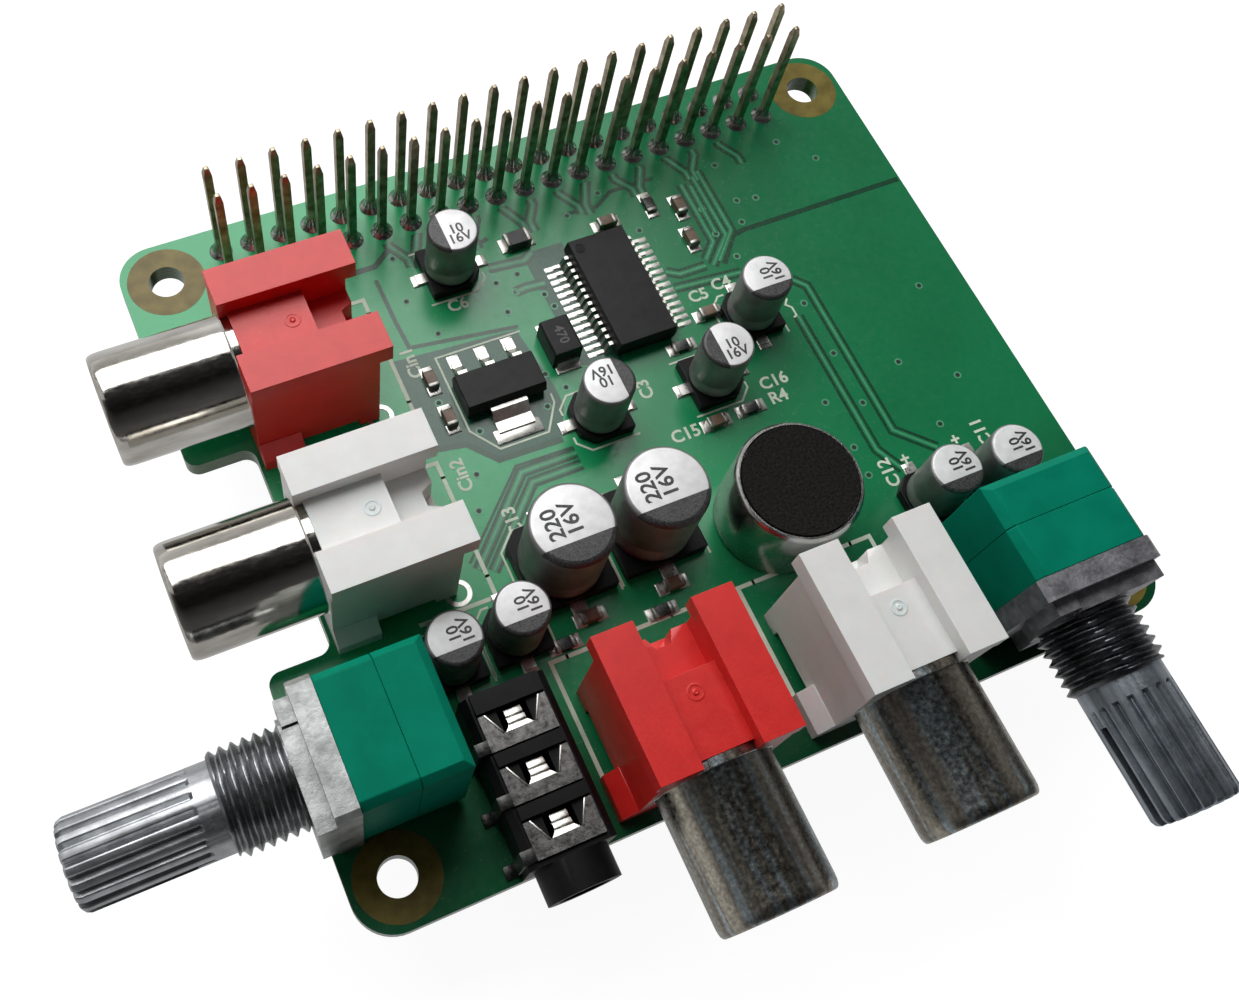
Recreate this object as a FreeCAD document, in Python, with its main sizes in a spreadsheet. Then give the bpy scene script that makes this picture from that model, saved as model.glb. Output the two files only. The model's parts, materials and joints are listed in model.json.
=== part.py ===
import FreeCAD
import Part
import Sketcher
import math
import os
import re

# Audio expansion board: circuit board, stacking header, four phono sockets,
# two dual potentiometers, a 3.5 mm jack, a microphone and the small parts between them.
# Millimetres, +Z up. Origin: centre of the four mounting holes, on the board's underside.

SIZES = [
    # circuit board
    ("board_length", 65.0), ("board_width", 56.0), ("board_thick", 1.6), ("board_corner", 3.0),
    ("hole_span_x", 58.0), ("hole_span_y", 49.0), ("hole_inset", 3.5), ("hole_dia", 2.75),
    ("notch_start", 19.5), ("notch_depth", 5.0), ("notch_length", 17.0), ("notch_radius", 1.0),
    ("slot_clear", 0.06), ("tail_length", 1.2),
    # stacking header
    ("pin_pitch", 2.54), ("pin_columns", 20), ("pin_rows", 2), ("pin_width", 0.64), ("pin_rise", 10.5),
    ("pin_taper", 0.7), ("pin_tip", 0.34), ("pin_seat", 2.5), ("socket_width", 5.0), ("socket_height", 8.5),
    ("socket_margin", 0.15), ("cell_clear", 0.08),
    # phono sockets
    ("phono_pitch", 15.24), ("phono_front_centre", 32.02), ("phono_front_inset", 0.95),
    ("phono_left_centre", 32.48), ("phono_left_inset", 5.3), ("phono_axis", 5.4),
    ("phono_length", 10.2), ("phono_height", 11.0), ("phono_lip_width", 10.2), ("phono_lip_height", 1.7),
    ("phono_wall_width", 9.4), ("phono_rib_width", 3.0), ("phono_floor_drop", 1.3),
    ("phono_recess_drop", 3.0), ("phono_recess_length", 4.1), ("phono_rear_setback", 0.8),
    ("phono_notch_mouth", 1.9), ("phono_notch_floor", 1.1), ("phono_notch_reach", 0.9),
    ("phono_notch_depth", 2.0),
    ("phono_foot_width", 11.6), ("phono_foot_height", 2.3), ("phono_foot_length", 3.2),
    ("phono_foot_bevel", 1.0), ("phono_front_gap", 4.4), ("phono_gap_height", 0.8), ("phono_rear_foot", 1.6),
    ("sleeve_dia", 8.3), ("sleeve_bore", 7.4), ("sleeve_length", 9.4), ("sleeve_clear", 0.03),
    ("flange_dia", 8.7), ("flange_thick", 0.6),
    ("ground_tab_width", 2.4), ("ground_tab_thick", 0.4), ("ground_tab_reach", 3.0),
    ("hub_recess", 1.2), ("hub_bore", 3.6), ("contact_thick", 0.3),
    ("contact_width", 1.0), ("contact_reach", 7.6), ("contact_setback", 1.0),
    # potentiometers
    ("pot_left_centre", 10.85), ("pot_left_inset", 0.6), ("pot_right_centre", 53.0),
    ("pot_right_inset", 1.9), ("pot_axis", 6.5), ("pot_width", 9.2), ("pot_top", 11.6), ("pot_base", 1.0),
    ("plate_thick", 1.6), ("plate_bevel", 0.4), ("boss_thick", 1.2), ("boss_top", 10.4), ("boss_side", 2.1),
    ("key_width", 1.7), ("key_length", 1.0), ("key_low", 7.6), ("key_gap", 0.15), ("key_high", 10.6),
    ("pot_foot_width", 1.2), ("bushing_dia", 7.0), ("bushing_length", 5.9), ("root_dia", 7.7),
    ("shaft_dia", 6.0), ("shaft_clear", 0.05), ("shaft_length", 15.4), ("spline_start", 7.2),
    ("spline_teeth", 18), ("spline_root_dia", 5.2), ("split_width", 0.8),
    ("split_depth", 7.0), ("core_side", 2.3), ("core_end", 0.3),
    ("case_width", 8.9), ("case_bevel", 0.5), ("case_wall", 0.8), ("front_case_length", 3.9),
    ("rear_case_length", 3.4), ("rear_bevel", 0.6), ("rotor_dia", 7.0), ("rotor_thick", 1.2),
    ("rotor_fit", 0.02), ("turn_clear", 0.3), ("cavity_size", 7.5),
    ("pot_pin_pitch", 2.5), ("pot_pin_width", 0.8), ("pot_pin_thick", 0.3),
    # 3.5 mm jack
    ("jack_centre", 14.1), ("jack_width", 6.2), ("jack_length", 11.8), ("jack_deck", 4.7),
    ("jack_bevel", 0.5), ("nose_dia", 5.2), ("nose_length", 2.3), ("jack_bore", 3.6),
    ("jack_axis", 2.6), ("jack_bore_depth", 10.4), ("blade_width", 4.85), ("blade_length", 2.5),
    ("blade_thick", 0.3), ("blade_bar", 0.95), ("blade_tip", 0.5), ("blade_mouth", 2.2), ("blade_first", 0.4),
    ("blade_pitch", 3.68), ("finger_width", 1.4), ("finger_gap", 0.35), ("bar_gap", 0.15), ("bar_height", 0.45),
    ("strap_width", 0.9), ("strap_thick", 0.25), ("strap_foot", 0.7),
    # microphone
    ("mic_x", 39.45), ("mic_y", 17.05), ("mic_dia", 9.5), ("mic_height", 6.7),
    ("felt_dia", 8.5), ("felt_thick", 0.5), ("felt_sink", 0.4), ("felt_clear", 0.05),
    ("mic_pin_span", 2.54), ("mic_pin_width", 0.5),
    # aluminium capacitors
    ("large_dia", 6.3), ("large_height", 7.7), ("large_base", 6.6), ("large_base_thick", 1.1),
    ("small_dia", 4.0), ("small_height", 5.8), ("small_base", 4.3), ("small_base_thick", 0.9),
    ("base_bevel", 1.0), ("cap_lead_width", 0.9), ("cap_lead_reach", 0.7),
    ("cap_lead_thick", 0.25),
    # codec chip
    ("codec_x", 36.63), ("codec_y", 38.85), ("codec_width", 5.3), ("codec_length", 10.2),
    ("codec_height", 1.85), ("codec_standoff", 0.1), ("codec_draft", 0.22), ("codec_span", 7.8),
    ("codec_pitch", 0.65), ("codec_lead_count", 14), ("codec_lead_width", 0.3), ("codec_lead_thick", 0.16),
    ("codec_lead_foot", 0.6), ("codec_lead_shoulder", 0.35),
    # voltage regulator
    ("reg_x", 24.20), ("reg_y", 34.50), ("reg_length", 6.5), ("reg_width", 3.5), ("reg_height", 1.65),
    ("reg_draft", 0.3), ("reg_span", 7.3), ("reg_pitch", 2.3), ("reg_lead_width", 0.75),
    ("reg_tab_width", 3.0), ("reg_lead_thick", 0.28), ("reg_lead_foot", 0.9), ("reg_lead_shoulder", 0.3),
    # moulded inductor and ferrite bead
    ("coil_x", 30.10), ("coil_y", 36.25), ("coil_width", 2.4), ("coil_length", 3.2), ("coil_height", 2.0),
    ("coil_bevel", 0.15), ("coil_end_width", 1.8), ("coil_end_thick", 0.2), ("coil_end_height", 0.9),
    ("bead_x", 30.95), ("bead_y", 46.40), ("bead_length", 2.1), ("bead_width", 1.25), ("bead_height", 0.9),
    # chip resistors and chip capacitors
    ("chip_length", 1.6), ("chip_width", 0.85), ("chip_cap_height", 0.75), ("chip_res_height", 0.45),
]

# Places of the small parts: name, distance from the left edge, from the front edge, turn about Z

LARGE_CAPACITORS = [("large_a", 22.55, 19.65, 90), ("large_b", 29.93, 19.82, 90)]
SMALL_CAPACITORS = [
    ("small_a", 24.70, 45.75, 0), ("small_b", 45.88, 33.45, 90), ("small_c", 40.25, 29.20, 0),
    ("small_d", 30.43, 29.57, 180), ("small_e", 12.32, 15.69, 90), ("small_f", 17.39, 15.93, 90),
    ("small_g", 51.38, 13.96, 90), ("small_h", 56.55, 13.71, 90),
]
CHIP_CAPACITORS = [
    ("chip_a", 19.50, 36.95, 90), ("chip_b", 19.60, 33.40, 90), ("chip_c", 38.70, 45.50, 0),
    ("chip_d", 45.20, 44.90, 90), ("chip_e", 44.70, 41.70, 90), ("chip_f", 42.80, 34.75, 0),
    ("chip_g", 38.90, 25.70, 0), ("chip_h", 23.00, 15.00, 0), ("chip_i", 29.70, 15.00, 0),
]
CHIP_RESISTORS = [
    ("res_a", 39.40, 32.75, 0), ("res_b", 42.05, 25.85, 0), ("res_c", 28.10, 13.45, 0),
    ("res_d", 42.90, 46.00, 90), ("res_e", 20.40, 13.80, 0),
]
for family in (LARGE_CAPACITORS, SMALL_CAPACITORS, CHIP_CAPACITORS, CHIP_RESISTORS):
    for spot, spot_x, spot_y, turn in family:
        SIZES.append((spot + "_x", spot_x))
        SIZES.append((spot + "_y", spot_y))

doc = FreeCAD.newDocument("sound_board")
sheet = doc.addObject("Spreadsheet::Sheet", "Sizes")
for row, (alias, number) in enumerate(SIZES, start=1):
    sheet.set("A%d" % row, alias.replace("_", " "))
    sheet.set("B%d" % row, str(number))
    sheet.setAlias("B%d" % row, alias)
doc.recompute()

NAMES = {alias for alias, number in SIZES}
WORD = re.compile(r"[a-z][a-z0-9_]*")
X_AXIS = FreeCAD.Vector(1, 0, 0)
Y_AXIS = FreeCAD.Vector(0, 1, 0)
Z_AXIS = FreeCAD.Vector(0, 0, 1)
PLANES = {
    "XY": FreeCAD.Rotation(),
    "XZ": FreeCAD.Rotation(X_AXIS, 90),
    "YZ": FreeCAD.Rotation(FreeCAD.Vector(1, 1, 1), 120),
}
LEFT_EDGE = "-(hole_span_x / 2 + hole_inset)"
FRONT_EDGE = "-(hole_span_y / 2 + hole_inset)"
nodes = []


def size(alias):
    """A driving dimension as a number."""
    return float(sheet.get(alias))


def bound(text):
    """An expression in sheet names, as the document reads it."""
    return WORD.sub(lambda m: "Sizes." + m.group(0) if m.group(0) in NAMES else m.group(0), str(text))


def bind(thing, **fields):
    for field, text in fields.items():
        thing.setExpression(field.replace("__", "."), bound(text))
    return thing


def place(thing, x="0", y="0", z="0"):
    return bind(thing, Placement__Base__x=x, Placement__Base__y=y, Placement__Base__z=z)


def box(name, x, y, z):
    """A block from three (low, high) pairs of expressions."""
    block = doc.addObject("Part::Box", name)
    bind(block, Length="(%s) - (%s)" % (x[1], x[0]), Width="(%s) - (%s)" % (y[1], y[0]),
         Height="(%s) - (%s)" % (z[1], z[0]))
    return place(block, x[0], y[0], z[0])


def both(half):
    """A span that is even about the centre line."""
    return ("-(%s)" % half, half)


def rod(name, axis, radius, span, a="0", b="0"):
    """A cylinder along Y at (x, z) = (a, b), or along Z at (x, y) = (a, b)."""
    bar = doc.addObject("Part::Cylinder", name)
    bind(bar, Radius=radius, Height="(%s) - (%s)" % (span[1], span[0]))
    if axis == "Y":
        bar.Placement = FreeCAD.Placement(FreeCAD.Vector(), FreeCAD.Rotation(X_AXIS, -90))
        return place(bar, a, span[0], b)
    return place(bar, a, b, span[0])


def many_sided(name, sides, radius, span, height="0"):
    """A regular prism along Y, with its corners at the radius."""
    bar = doc.addObject("Part::Prism", name)
    bar.Polygon = sides
    bind(bar, Circumradius=radius, Height="(%s) - (%s)" % (span[1], span[0]))
    bar.Placement = FreeCAD.Placement(FreeCAD.Vector(), FreeCAD.Rotation(X_AXIS, -90))
    return place(bar, "0", span[0], height)


def outline(sketch, points):
    """A closed outline of straight sides, each corner tied to two expressions."""
    count = len(points)
    start = [FreeCAD.Vector(9 * math.cos(2 * math.pi * i / count), 9 * math.sin(2 * math.pi * i / count), 0)
             for i in range(count)]
    for i in range(count):
        sketch.addGeometry(Part.LineSegment(start[i], start[(i + 1) % count]), False)
    for i in range(count):
        sketch.addConstraint(Sketcher.Constraint("Coincident", i, 2, (i + 1) % count, 1))
    for i, (across, up) in enumerate(points):
        for kind, now, text in (("DistanceX", start[i].x, across), ("DistanceY", start[i].y, up)):
            k = sketch.addConstraint(Sketcher.Constraint(kind, -1, 1, i, 1, now))
            sketch.setExpression("Constraints[%d]" % k, bound(text))
    return sketch


def profile(name, plane, points):
    sketch = doc.addObject("Sketcher::SketchObject", name)
    sketch.Placement = FreeCAD.Placement(FreeCAD.Vector(), PLANES[plane])
    return outline(sketch, points)


def extrude(name, sketch, axis, length, start="0"):
    solid = doc.addObject("Part::Extrusion", name)
    solid.Base = sketch
    solid.DirMode = "Custom"
    solid.Dir = axis
    solid.Solid = True
    bind(solid, LengthFwd=length)
    return bind(solid, **{"Placement__Base__" + "xyz"[int(axis.dot(Y_AXIS) + 2 * axis.dot(Z_AXIS))]: start})


def fuse(name, things):
    joined = doc.addObject("Part::MultiFuse", name)
    joined.Shapes = things
    joined.Refine = True
    return joined


def cut(name, base, tools):
    result = doc.addObject("Part::Cut", name)
    result.Base = base
    result.Tool = tools[0] if len(tools) == 1 else fuse(name + "Tools", tools)
    result.Refine = True
    return result


def node(thing, label):
    thing.Label = label
    nodes.append(thing)
    return thing


def node_at(form, label, x, y, z="board_thick", turn=0):
    """A form set down as a named piece, at x from the board's left edge and y from its front edge."""
    piece = doc.addObject("Part::Compound", "Piece_" + label)
    piece.Links = [form]
    piece.Placement = FreeCAD.Placement(FreeCAD.Vector(), FreeCAD.Rotation(Z_AXIS, turn))
    return node(place(piece, "%s + %s" % (LEFT_EDGE, x), "%s + %s" % (FRONT_EDGE, y), z), label)


def group(label, solids):
    """Like pieces that share one node, as separate solids."""
    doc.recompute()
    piece = doc.addObject("Part::Feature", "Group_" + label)
    piece.Shape = Part.makeCompound(solids)
    return node(piece, label)


def spot_of(name):
    """Where a small part stands, from its distances to the board's edges."""
    left = -(size("hole_span_x") / 2 + size("hole_inset"))
    front = -(size("hole_span_y") / 2 + size("hole_inset"))
    return left + size(name + "_x"), front + size(name + "_y")


def set_down(shape, x, y, turn=0, z=None):
    """A copy of a shape, turned about Z and moved to a place on the board."""
    copy = shape.copy()
    height = size("board_thick") if z is None else z
    copy.Placement = FreeCAD.Placement(FreeCAD.Vector(x, y, height), FreeCAD.Rotation(Z_AXIS, turn))
    return copy


def block_at(x, y, z, length, width, height):
    """A plain block centred on (x, y) with its foot at z."""
    return Part.makeBox(length, width, height, FreeCAD.Vector(x - length / 2, y - width / 2, z))


# Edge connectors: name, x from the left edge, y from the front edge, turn; turn 0 faces -Y, -90 faces -X

PHONOS = [
    ("left_red", "phono_left_inset", "phono_left_centre + phono_pitch / 2", -90),
    ("left_white", "phono_left_inset", "phono_left_centre - phono_pitch / 2", -90),
    ("front_red", "phono_front_centre - phono_pitch / 2", "phono_front_inset", 0),
    ("front_white", "phono_front_centre + phono_pitch / 2", "phono_front_inset", 0),
]
POTS = [
    ("left", "pot_left_inset", "pot_left_centre", -90),
    ("right", "pot_right_centre", "pot_right_inset", 0),
]

# Stacking header: pins through the board, socket below

header_y = size("hole_span_y") / 2
pin_foot = -size("pin_seat")
taper_foot = size("board_thick") + size("pin_rise") - size("pin_taper")
half_pin = size("pin_width") / 2
half_tip = size("pin_tip") / 2
pin_taper = Part.makeWedge(-half_pin, 0, -half_pin, -half_tip, -half_tip,
                           half_pin, size("pin_taper"), half_pin, half_tip, half_tip)
pin_taper.Placement = FreeCAD.Placement(FreeCAD.Vector(0, 0, taper_foot), FreeCAD.Rotation(X_AXIS, 90))
pin_shape = block_at(0, 0, pin_foot, size("pin_width"), size("pin_width"), taper_foot - pin_foot)
pin_shape = pin_shape.fuse(pin_taper).removeSplitter()
header_spots = []
for column in range(int(size("pin_columns"))):
    for line in range(int(size("pin_rows"))):
        spot_x = (column - (size("pin_columns") - 1) / 2) * size("pin_pitch")
        spot_y = header_y + (line - (size("pin_rows") - 1) / 2) * size("pin_pitch")
        header_spots.append((spot_x, spot_y))
group("header_pins", [set_down(pin_shape, x, y, z=0) for x, y in header_spots])

socket_block = box("SocketBlock", both("(pin_columns * pin_pitch) / 2 + socket_margin"),
                   ("(hole_span_y - socket_width) / 2", "(hole_span_y + socket_width) / 2"),
                   ("-socket_height", "0"))
cell = size("pin_width") + 2 * size("cell_clear")
socket_cells = doc.addObject("Part::Feature", "SocketCells")
socket_cells.Shape = Part.makeCompound(
    [block_at(x, y, -size("socket_height"), cell, cell, size("socket_height")) for x, y in header_spots])
node(cut("Socket", socket_block, [socket_cells]), "header_socket")

# Phono socket: moulded housing with a hub, turned sleeve with a ground tab, folded contact

FLANGE_SIDES = 16
lip_half = "phono_lip_width / 2"
wall_half = "phono_wall_width / 2"
rib_in = "phono_lip_width / 2 - phono_rib_width"
lip_low = "phono_height - phono_lip_height"
floor_top = "phono_height - phono_floor_drop"
recess_top = "phono_height - phono_recess_drop"
wall_rear = "phono_length - phono_rear_setback"
housing_section = profile("HousingSection", "XZ", [
    ("-(%s)" % wall_half, "0"), (wall_half, "0"), (wall_half, lip_low), (lip_half, lip_low),
    (lip_half, "phono_height"), (rib_in, "phono_height"), (rib_in, floor_top), ("-(%s)" % rib_in, floor_top),
    ("-(%s)" % rib_in, "phono_height"), ("-(%s)" % lip_half, "phono_height"), ("-(%s)" % lip_half, lip_low),
    ("-(%s)" % wall_half, lip_low)])
foot_half = "phono_foot_width / 2"
foot_in = "phono_foot_width / 2 - phono_foot_bevel"
foot_section = profile("FootSection", "XZ", [
    ("-(%s)" % foot_half, "0"), (foot_half, "0"), (foot_half, "phono_foot_height - phono_foot_bevel"),
    (foot_in, "phono_foot_height"), ("-(%s)" % foot_in, "phono_foot_height"),
    ("-(%s)" % foot_half, "phono_foot_height - phono_foot_bevel")])
housing_block = fuse("HousingBlock", [
    extrude("HousingLength", housing_section, Y_AXIS, "phono_length"),
    extrude("FootLength", foot_section, Y_AXIS, "phono_foot_length")])
tab_room = "ground_tab_width / 2 + slot_clear"
tongue_low = "phono_axis - sleeve_dia / 2"
tongue_top = "phono_axis - sleeve_dia / 2 + ground_tab_thick"
tab_front = "ground_tab_reach - ground_tab_thick"
flange_seat = "flange_thick + sleeve_clear"
rear_notch = profile("RearNotchOutline", "XY", [
    ("-phono_notch_mouth / 2", wall_rear), ("-phono_notch_floor / 2", wall_rear + " - phono_notch_reach"),
    ("phono_notch_floor / 2", wall_rear + " - phono_notch_reach"), ("phono_notch_mouth / 2", wall_rear)])
housing_shell = cut("HousingShell", housing_block, [
    box("RearSetback", both(foot_half), (wall_rear, "phono_length"), ("0", lip_low)),
    box("RearRecess", both(rib_in), ("phono_length - phono_recess_length", "phono_length"),
        (recess_top, "phono_height")),
    extrude("RearNotch", rear_notch, Z_AXIS, "phono_recess_drop + phono_notch_depth",
            recess_top + " - phono_notch_depth"),
    box("SideGap", both(foot_half), ("phono_foot_length", wall_rear + " - phono_rear_foot"),
        ("0", "phono_gap_height")),
    box("FrontGap", both("phono_front_gap / 2"), ("0", "phono_foot_length"), ("0", "phono_gap_height")),
    many_sided("FlangeSeat", FLANGE_SIDES, "flange_dia / 2 + sleeve_clear", ("0", flange_seat), "phono_axis"),
    box("FlangeWindow", both(rib_in), ("0", flange_seat), ("phono_axis", floor_top)),
    box("TongueRoom", both(tab_room), ("0", "ground_tab_reach + slot_clear"),
        (tongue_low + " - slot_clear", tongue_top + " + slot_clear")),
    box("TabRoom", both(tab_room), (tab_front + " - slot_clear", "ground_tab_reach + slot_clear"),
        ("0", tongue_top))])
hub_front = "hub_recess - sleeve_length"
hub = rod("Hub", "Y", "sleeve_bore / 2 - sleeve_clear", (hub_front, flange_seat), "0", "phono_axis")
prong_in = "hub_bore / 2 + slot_clear"
prong_out = "hub_bore / 2 + slot_clear + contact_thick"
prong_room = "hub_bore / 2 + contact_thick + 2 * slot_clear"
prong_front = hub_front + " + contact_setback"
web = "contact_reach - contact_thick"
contact_rear = "contact_reach + slot_clear"
contact_room = both("contact_width / 2 + slot_clear")
phono_housing = cut("PhonoHousing", fuse("HousingAndHub", [housing_shell, hub]), [
    rod("HubBore", "Y", "hub_bore / 2", (hub_front, web + " - slot_clear"), "0", "phono_axis"),
    box("ProngRoom", contact_room, (prong_front + " - slot_clear", contact_rear),
        ("phono_axis - (%s)" % prong_room, "phono_axis + " + prong_room)),
    box("TailRoom", contact_room, (web + " - slot_clear", contact_rear), ("0", "phono_axis"))])

tail_end = "-(board_thick + tail_length)"
sleeve_blank = fuse("SleeveBlank", [
    rod("SleeveBarrel", "Y", "sleeve_dia / 2", ("-sleeve_length", "0"), "0", "phono_axis"),
    many_sided("SleeveFlange", FLANGE_SIDES, "flange_dia / 2", ("0", "flange_thick"), "phono_axis")])
sleeve_tube = cut("SleeveTube", sleeve_blank, [
    rod("SleeveBore", "Y", "sleeve_bore / 2", ("-sleeve_length", "flange_thick"), "0", "phono_axis")])
phono_sleeve = fuse("PhonoSleeve", [
    sleeve_tube,
    box("Tongue", both("ground_tab_width / 2"), ("0", "ground_tab_reach"), (tongue_low, tongue_top)),
    box("GroundTab", both("ground_tab_width / 2"), (tab_front, "ground_tab_reach"), (tail_end, tongue_top))])
contact_section = profile("ContactSection", "YZ", [
    (prong_front, "phono_axis + " + prong_out), ("contact_reach", "phono_axis + " + prong_out),
    ("contact_reach", tail_end), (web, tail_end), (web, "phono_axis - (%s)" % prong_out),
    (prong_front, "phono_axis - (%s)" % prong_out), (prong_front, "phono_axis - (%s)" % prong_in),
    (web, "phono_axis - (%s)" % prong_in), (web, "phono_axis + " + prong_in),
    (prong_front, "phono_axis + " + prong_in)])
phono_contact = extrude("PhonoContact", contact_section, X_AXIS, "contact_width", "-contact_width / 2")

for name, x, y, turn in PHONOS:
    node_at(phono_housing, name + "_phono_housing", x, y, turn=turn)
    node_at(phono_sleeve, name + "_phono_sleeve", x, y, turn=turn)
    node_at(phono_contact, name + "_phono_contact", x, y, turn=turn)

# Dual potentiometer: cast frame with bushing, two moulded cases, split shaft with two rotors

pot_half = "pot_width / 2"
plate_section = profile("PlateSection", "XZ", [
    ("-(%s)" % pot_half, "0"), ("pot_foot_width - " + pot_half, "0"),
    ("pot_foot_width - " + pot_half, "pot_base"),
    (pot_half + " - pot_foot_width", "pot_base"), (pot_half + " - pot_foot_width", "0"), (pot_half, "0"),
    (pot_half, "pot_top - plate_bevel"), (pot_half + " - plate_bevel", "pot_top"),
    ("plate_bevel - " + pot_half, "pot_top"), ("-(%s)" % pot_half, "pot_top - plate_bevel")])
frame_block = fuse("FrameBlock", [
    extrude("PlateThick", plate_section, Y_AXIS, "plate_thick"),
    box("Boss", ("-boss_side", pot_half), ("-boss_thick", "0"), ("pot_base", "boss_top")),
    box("Key", ("-boss_side - key_gap - key_width", "-boss_side - key_gap"), ("-key_length", "0"),
        ("key_low", "key_high")),
    many_sided("BushingRoot", 8, "root_dia / 2", ("-boss_thick", "0"), "pot_axis"),
    rod("Bushing", "Y", "bushing_dia / 2", ("-bushing_length", "0"), "0", "pot_axis")])
pot_frame = cut("PotFrame", frame_block, [
    rod("BushingBore", "Y", "shaft_dia / 2 + shaft_clear", ("-bushing_length", "plate_thick"),
        "0", "pot_axis")])

case_half = "case_width / 2"
case_section = profile("CaseSection", "XZ", [
    ("-(%s)" % case_half, "pot_base"), (case_half, "pot_base"), (case_half, "pot_top - case_bevel"),
    (case_half + " - case_bevel", "pot_top"), ("case_bevel - " + case_half, "pot_top"),
    ("-(%s)" % case_half, "pot_top - case_bevel")])
front_start = "plate_thick"
front_end = "plate_thick + front_case_length"
rear_end = "plate_thick + front_case_length + rear_case_length"
cavity_z = ("pot_axis - cavity_size / 2", "pot_axis + cavity_size / 2")
core_room = "core_side * sqrt(0.5) + turn_clear"
front_block = extrude("FrontCaseBlock", case_section, Y_AXIS, "front_case_length", front_start)
front_case = cut("FrontCase", front_block, [
    box("FrontCavity", both("cavity_size / 2"), (front_start, front_end + " - case_wall"), cavity_z),
    many_sided("FrontWallHole", 8, core_room, (front_start, front_end), "pot_axis")])
rear_slope = profile("RearSlope", "YZ", [
    (rear_end + " - rear_bevel", "pot_top"), (rear_end, "pot_top - rear_bevel"), (rear_end, "pot_top")])
rear_case = cut("RearCase", extrude("RearCaseBlock", case_section, Y_AXIS, "rear_case_length", front_end), [
    box("RearCavity", both("cavity_size / 2"), (front_end, rear_end + " - case_wall"), cavity_z),
    extrude("RearSlopeCut", rear_slope, X_AXIS, "case_width", "-(%s)" % case_half)])

spline_wire = []
for tooth in range(int(size("spline_teeth"))):
    for share, dia in ((0.14, "spline_root_dia"), (0.42, "shaft_dia"), (0.86, "shaft_dia")):
        angle = 2 * math.pi * (tooth + share) / size("spline_teeth")
        spline_wire.append(FreeCAD.Vector(size(dia) / 2 * math.cos(angle), 0, size(dia) / 2 * math.sin(angle)))
spline = doc.addObject("Part::Feature", "Spline")
spline.Shape = Part.Face(Part.makePolygon(spline_wire + spline_wire[:1])).extrude(
    FreeCAD.Vector(0, size("shaft_length") - size("spline_start"), 0))
place(spline, "0", "-shaft_length", "0")
shaft_rod = fuse("ShaftRod", [
    spline, rod("Journal", "Y", "shaft_dia / 2", ("-spline_start", "plate_thick - turn_clear")),
    box("Core", both("core_side / 2"), ("plate_thick - turn_clear", rear_end + " - case_wall - core_end"),
        both("core_side / 2"))])
pot_shaft = cut("PotShaft", shaft_rod, [
    box("Split", both("shaft_dia / 2"), ("-shaft_length", "split_depth - shaft_length"),
        both("split_width / 2"))])


def rotor(name, mid):
    """An eight-sided wiper carrier on the shaft's square core."""
    along = (mid + " - rotor_thick / 2", mid + " + rotor_thick / 2")
    return cut(name, many_sided(name + "Disc", 8, "rotor_dia / 2", along), [
        box(name + "Hole", both("core_side / 2 + rotor_fit"), along, both("core_side / 2 + rotor_fit"))])


front_rotor = rotor("FrontRotor", "(plate_thick + (front_case_length - case_wall) / 2)")
rear_rotor = rotor("RearRotor", "(plate_thick + front_case_length + (rear_case_length - case_wall) / 2)")
rotors = doc.addObject("Part::Compound", "Rotors")
rotors.Links = [front_rotor, rear_rotor]

pot_pins = doc.addObject("Part::Compound", "PotPins")
POT_PIN_ROWS = ("plate_thick + front_case_length / 2", "plate_thick + front_case_length + rear_case_length / 2")
pin_boxes = []
for line, pin_y in enumerate(POT_PIN_ROWS):
    for step in (-1, 0, 1):
        middle = "%d * pot_pin_pitch" % step
        pin_boxes.append(box("PotPin%d%d" % (line, step + 1),
                             (middle + " - pot_pin_width / 2", middle + " + pot_pin_width / 2"),
                             (pin_y + " - pot_pin_thick / 2", pin_y + " + pot_pin_thick / 2"),
                             (tail_end, "pot_base")))
pot_pins.Links = pin_boxes

for name, x, y, turn in POTS:
    for form, piece in ((pot_frame, "frame"), (front_case, "front_case"), (rear_case, "rear_case"),
                        (pot_pins, "pins")):
        node_at(form, "%s_pot_%s" % (name, piece), x, y, turn=turn)
    node_at(pot_shaft, name + "_pot_shaft", x, y, "board_thick + pot_axis", turn)
    node_at(rotors, name + "_pot_rotors", x, y, "board_thick + pot_axis", turn)

# 3.5 mm jack: moulded body with a round nose, three spring contacts on its deck

jack_half = "jack_width / 2"
body_section = profile("BodySection", "XZ", [
    ("-(%s)" % jack_half, "0"), (jack_half, "0"), (jack_half, "jack_deck - jack_bevel"),
    (jack_half + " - jack_bevel", "jack_deck"), ("jack_bevel - " + jack_half, "jack_deck"),
    ("-(%s)" % jack_half, "jack_deck - jack_bevel")])
jack_solids = [extrude("JackBlock", body_section, Y_AXIS, "jack_length"),
               rod("Nose", "Y", "nose_dia / 2", ("-nose_length", "0"), "0", "jack_axis")]
jack_cuts = [rod("JackBore", "Y", "jack_bore / 2", ("-nose_length", "jack_bore_depth"), "0", "jack_axis")]
for step in range(3):
    blade_y = "blade_first + %d * blade_pitch" % step
    bar_end = "blade_first + %d * blade_pitch - bar_gap" % (step + 1) if step < 2 else "jack_length"
    jack_solids.append(box("DeckBar%d" % step, both("blade_width / 2"),
                           (blade_y + " + blade_length + bar_gap", bar_end),
                           ("jack_deck", "jack_deck + bar_height")))
    jack_cuts.append(box("Window%d" % step, both("finger_width / 2 + finger_gap"),
                         (blade_y + " + blade_bar", blade_y + " + blade_length + bar_gap"),
                         ("jack_axis", "jack_deck")))
jack_body = cut("JackBody", fuse("JackSolids", jack_solids), jack_cuts)

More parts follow.
